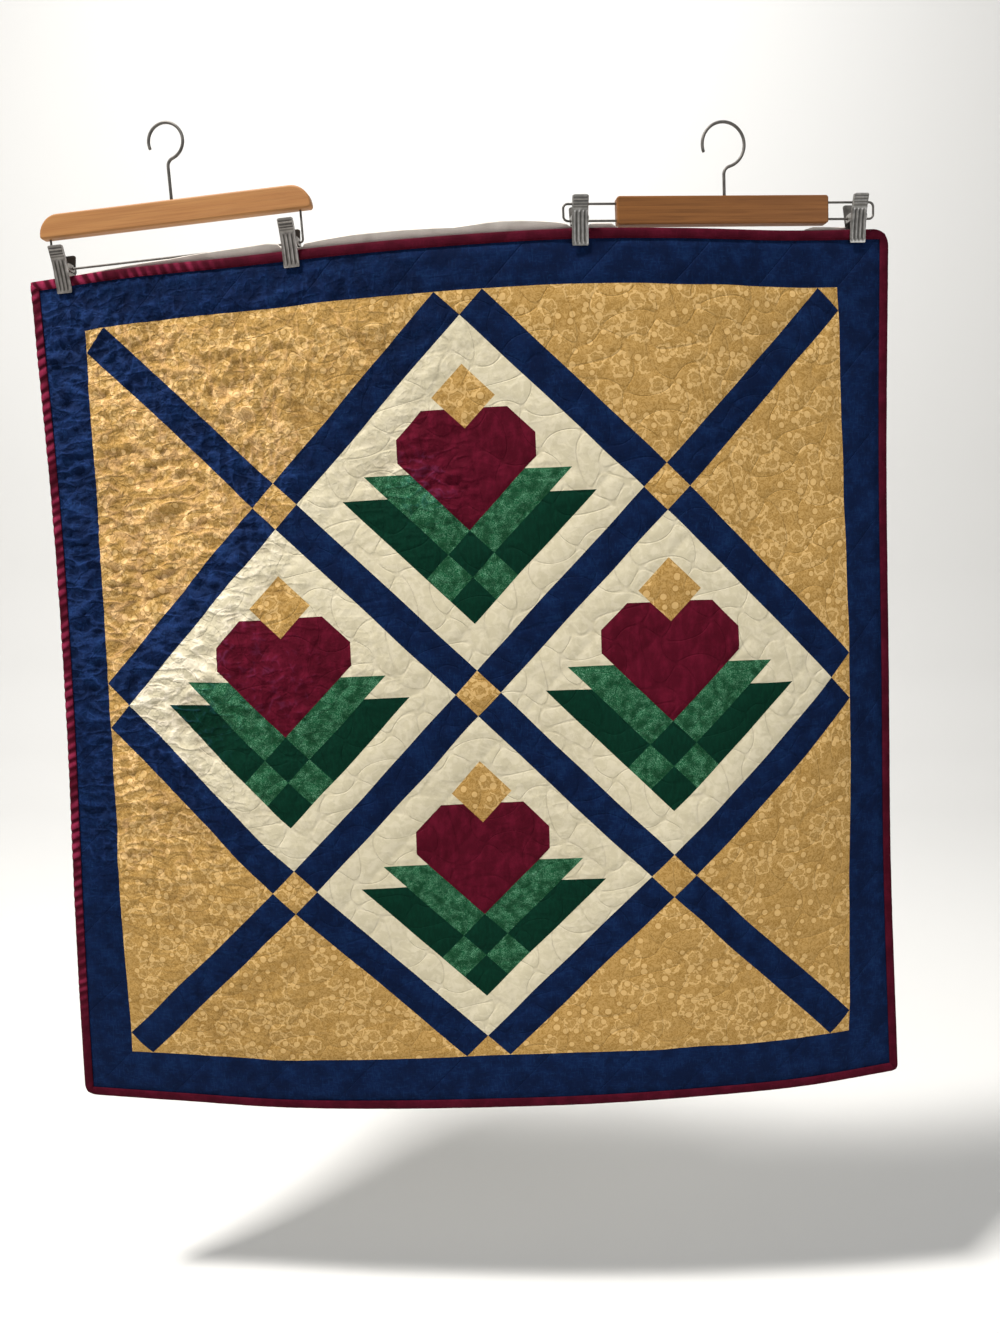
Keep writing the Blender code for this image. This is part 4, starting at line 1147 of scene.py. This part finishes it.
def build_clip(clip, frame, along, plate, steel):
    """Two pressed plates on the hanger's wire, with a spring between their ears."""
    place = frame @ Matrix.Translation((along, 0, 0))
    front, back = jaws(clip, frame)
    pressed_plate(clip.name + "_jaw_front", CLIP_WIDTH, [(front, 0), (front, JAW)] + CLIP_FRONT, -1, 0.0012,
                  True, plate, place, clip.name + "_front", EAR_REACH["front"])
    pressed_plate(clip.name + "_jaw_back", CLIP_BACK_WIDTH, [(back, 0), (back, JAW)] + CLIP_BACK, 1, 0.0030,
                  False, steel, place, clip.name + "_back", EAR_REACH["back"])
    coil_spring(clip.name + "_coil", CLIP_WIDTH / 2 - SPRING_INSET, steel, place, clip.name + "_spring")


def build_hook(name, hook, top, frame, steel, node):
    """A question-mark hook: up out of the bar, a small bend to the right, then the bow round to the left."""
    rise = math.sqrt((hook.bow + HOOK_BEND) ** 2 - HOOK_BEND ** 2)
    join = math.atan2(rise, -HOOK_BEND)
    shank = hook.shank + DRILL_DEPTH - GAP
    legs = [(shank, HOOK_BEND, join - math.pi), (0, hook.bow, HOOK_END - join + math.pi)]
    bent_wire(name, (hook.along, top - DRILL_DEPTH + GAP), math.pi / 2, HOOK_WIRE, legs, frame, steel, node)


def build_left_hanger(wood, plate, steel):
    """A bar over a bent rod whose two ends go up into it; both clips are threaded on the rod."""
    frame, half = hanger_frame(LEFT_CLIPS)
    bar = LEFT_BAR
    hanger_bar("left_bar", bar, RAIL_BEND, wood, frame, "left_hanger_bar")
    build_hook("left_hook", LEFT_HOOK, bar.top, frame, steel, "left_hanger_hook")
    end, into = half + RAIL_PAST_CLIP, bar.under + DRILL_DEPTH - GAP
    drop, span = into - HINGE_HEIGHT - RAIL_BEND, 2 * (end - RAIL_BEND)
    quarter = math.pi / 2
    legs = [(drop, RAIL_BEND, quarter), (span, RAIL_BEND, quarter), (drop, 0, 0)]
    bent_wire("left_rail", (-end, into), -quarter, WIRE, legs, frame, steel, "left_hanger_rail")
    for clip, side in zip(LEFT_CLIPS, (-1, 1)):
        build_clip(clip, frame, side * half, plate, steel)


def build_right_hanger(wood, plate, steel):
    """A bar with a bent wire in each end, one clip on each."""
    frame, half = hanger_frame(RIGHT_CLIPS)
    bar = RIGHT_BAR
    hanger_bar("right_bar", bar, bar.shoulder, wood, frame, "right_hanger_bar")
    build_hook("right_hook", RIGHT_HOOK, bar.top, frame, steel, "right_hanger_hook")
    for name, end, side in (("left", bar.left, 1), ("right", bar.right, -1)):
        into = end + side * (DRILL_DEPTH - GAP)
        out = abs(LOOP_TIPS[name] - into) - LOOP_BEND
        drop, turn = LOOP_UPPER - HINGE_HEIGHT - 2 * LOOP_BEND, side * math.pi / 2
        legs = [(out, LOOP_BEND, turn), (drop, LOOP_BEND, turn), (out, 0, 0)]
        heading = math.pi if side > 0 else 0.0
        bent_wire(f"right_{name}_wire", (into, LOOP_UPPER), heading, WIRE, legs, frame, steel,
                  f"right_hanger_{name}_loop")
    for clip, side in zip(RIGHT_CLIPS, (-1, 1)):
        build_clip(clip, frame, side * half, plate, steel)


# ------------------------------------------------------------------ stage, light and camera

def build_stage():
    """A pale floor that sweeps up into a backdrop well behind the quilt."""
    floor, wall, bend, reach = -1.42, 3.4, 0.9, 9.0
    arc = 0.5 * math.pi * bend
    bm = bmesh.new()
    bmesh.ops.create_grid(bm, x_segments=2, y_segments=40, size=1)
    for vertex in bm.verts:
        along = vertex.co.y * reach + arc
        if along < 0:
            y, z = wall - bend + along, floor
        elif along < arc:
            y, z = wall - bend + bend * math.sin(along / bend), floor + bend - bend * math.cos(along / bend)
        else:
            y, z = wall, floor + bend + along - arc
        vertex.co = Vector((vertex.co.x * reach, y, z))
    mesh = bpy.data.meshes.new("sweep")
    bm.to_mesh(mesh)
    bm.free()
    mesh.shade_smooth()
    finish = Finish("sweep_paint", Roughness=0.9, Base_Color=(0.72, 0.72, 0.71, 1))
    mesh.materials.append(finish.material)
    sweep = bpy.data.objects.new("sweep", mesh)
    bpy.context.scene.collection.objects.link(sweep)


def lamp(name, place, aim, size, power, colour=(1, 1, 1)):
    """A square lamp, size metres across and power in watts, that shines from place towards aim."""
    light = bpy.data.lights.new(name, "AREA")
    light.shape, light.size, light.energy, light.color = "SQUARE", size, power, colour
    holder = bpy.data.objects.new(name, light)
    holder.location = place
    holder.rotation_euler = (Vector(aim) - Vector(place)).to_track_quat("-Z", "Y").to_euler()
    bpy.context.scene.collection.objects.link(holder)


def build_light():
    """One small warm lamp high on the left for the relief, a broad weak one low on the right."""
    world = bpy.data.worlds.new("studio")
    world.use_nodes = True
    world.node_tree.nodes["Background"].inputs["Color"].default_value = (1.0, 1.0, 1.0, 1)
    world.node_tree.nodes["Background"].inputs["Strength"].default_value = 0.17
    bpy.context.scene.world = world
    middle = tuple(MIDDLE)
    lamp("key", (-1.7, -1.3, 3.5), middle, 0.6, 350, (1.0, 0.97, 0.93))
    lamp("fill", (2.7, -2.5, 0.8), middle, 2.2, 34, (0.98, 0.99, 1.0))
    lamp("backdrop_light", (0.0, 1.3, 2.9), (0.0, 3.4, 0.2), 2.0, 50)
    bpy.context.scene.view_settings.view_transform = "Standard"


def build_camera():
    """In front of the quilt and a little above its middle, looking 6 degrees down."""
    camera = bpy.data.cameras.new("camera")
    camera.lens = 27.74
    camera.sensor_width = 36
    holder = bpy.data.objects.new("camera", camera)
    holder.location = MIDDLE + Vector((0.026, -1.186, 0.157))
    holder.rotation_euler = (math.radians(90 - 6), 0, 0)
    bpy.context.scene.collection.objects.link(holder)
    bpy.context.scene.camera = holder


build_camera()
top_cotton = pieced_cotton()
backing = quilted_muslin()
# The binding's crests are painted four to six times brighter as painted highlight; its hollows get painted
# shade.
crimson = plain_cotton("binding_cotton", "3c0817", "480c1d", "5e152b", 0.4, (4.0, 6.0, 5.0))
muslin = plain_cotton("sleeve_muslin", "d6cec5", "ddd5cd", "e5ded6")
build_quilt(top_cotton, backing)
build_binding(crimson)
build_sleeve(muslin)
steel = nickel_plate("dull_nickel", "5d5a57", "74716d", 0.58)
light_wood = varnished_wood("light_wood", "ac7b4b", "a27043", "83562f", 0.35)
dark_wood = varnished_wood("dark_wood", "84552a", "764a23", "5c3818", 0.6)
build_left_hanger(light_wood, nickel_plate("bright_nickel", "9c9691", "b3aea9", 0.42), steel)
build_right_hanger(dark_wood, nickel_plate("grey_nickel", "989692", "b3b0ac", 0.38), steel)
build_stage()
build_light()
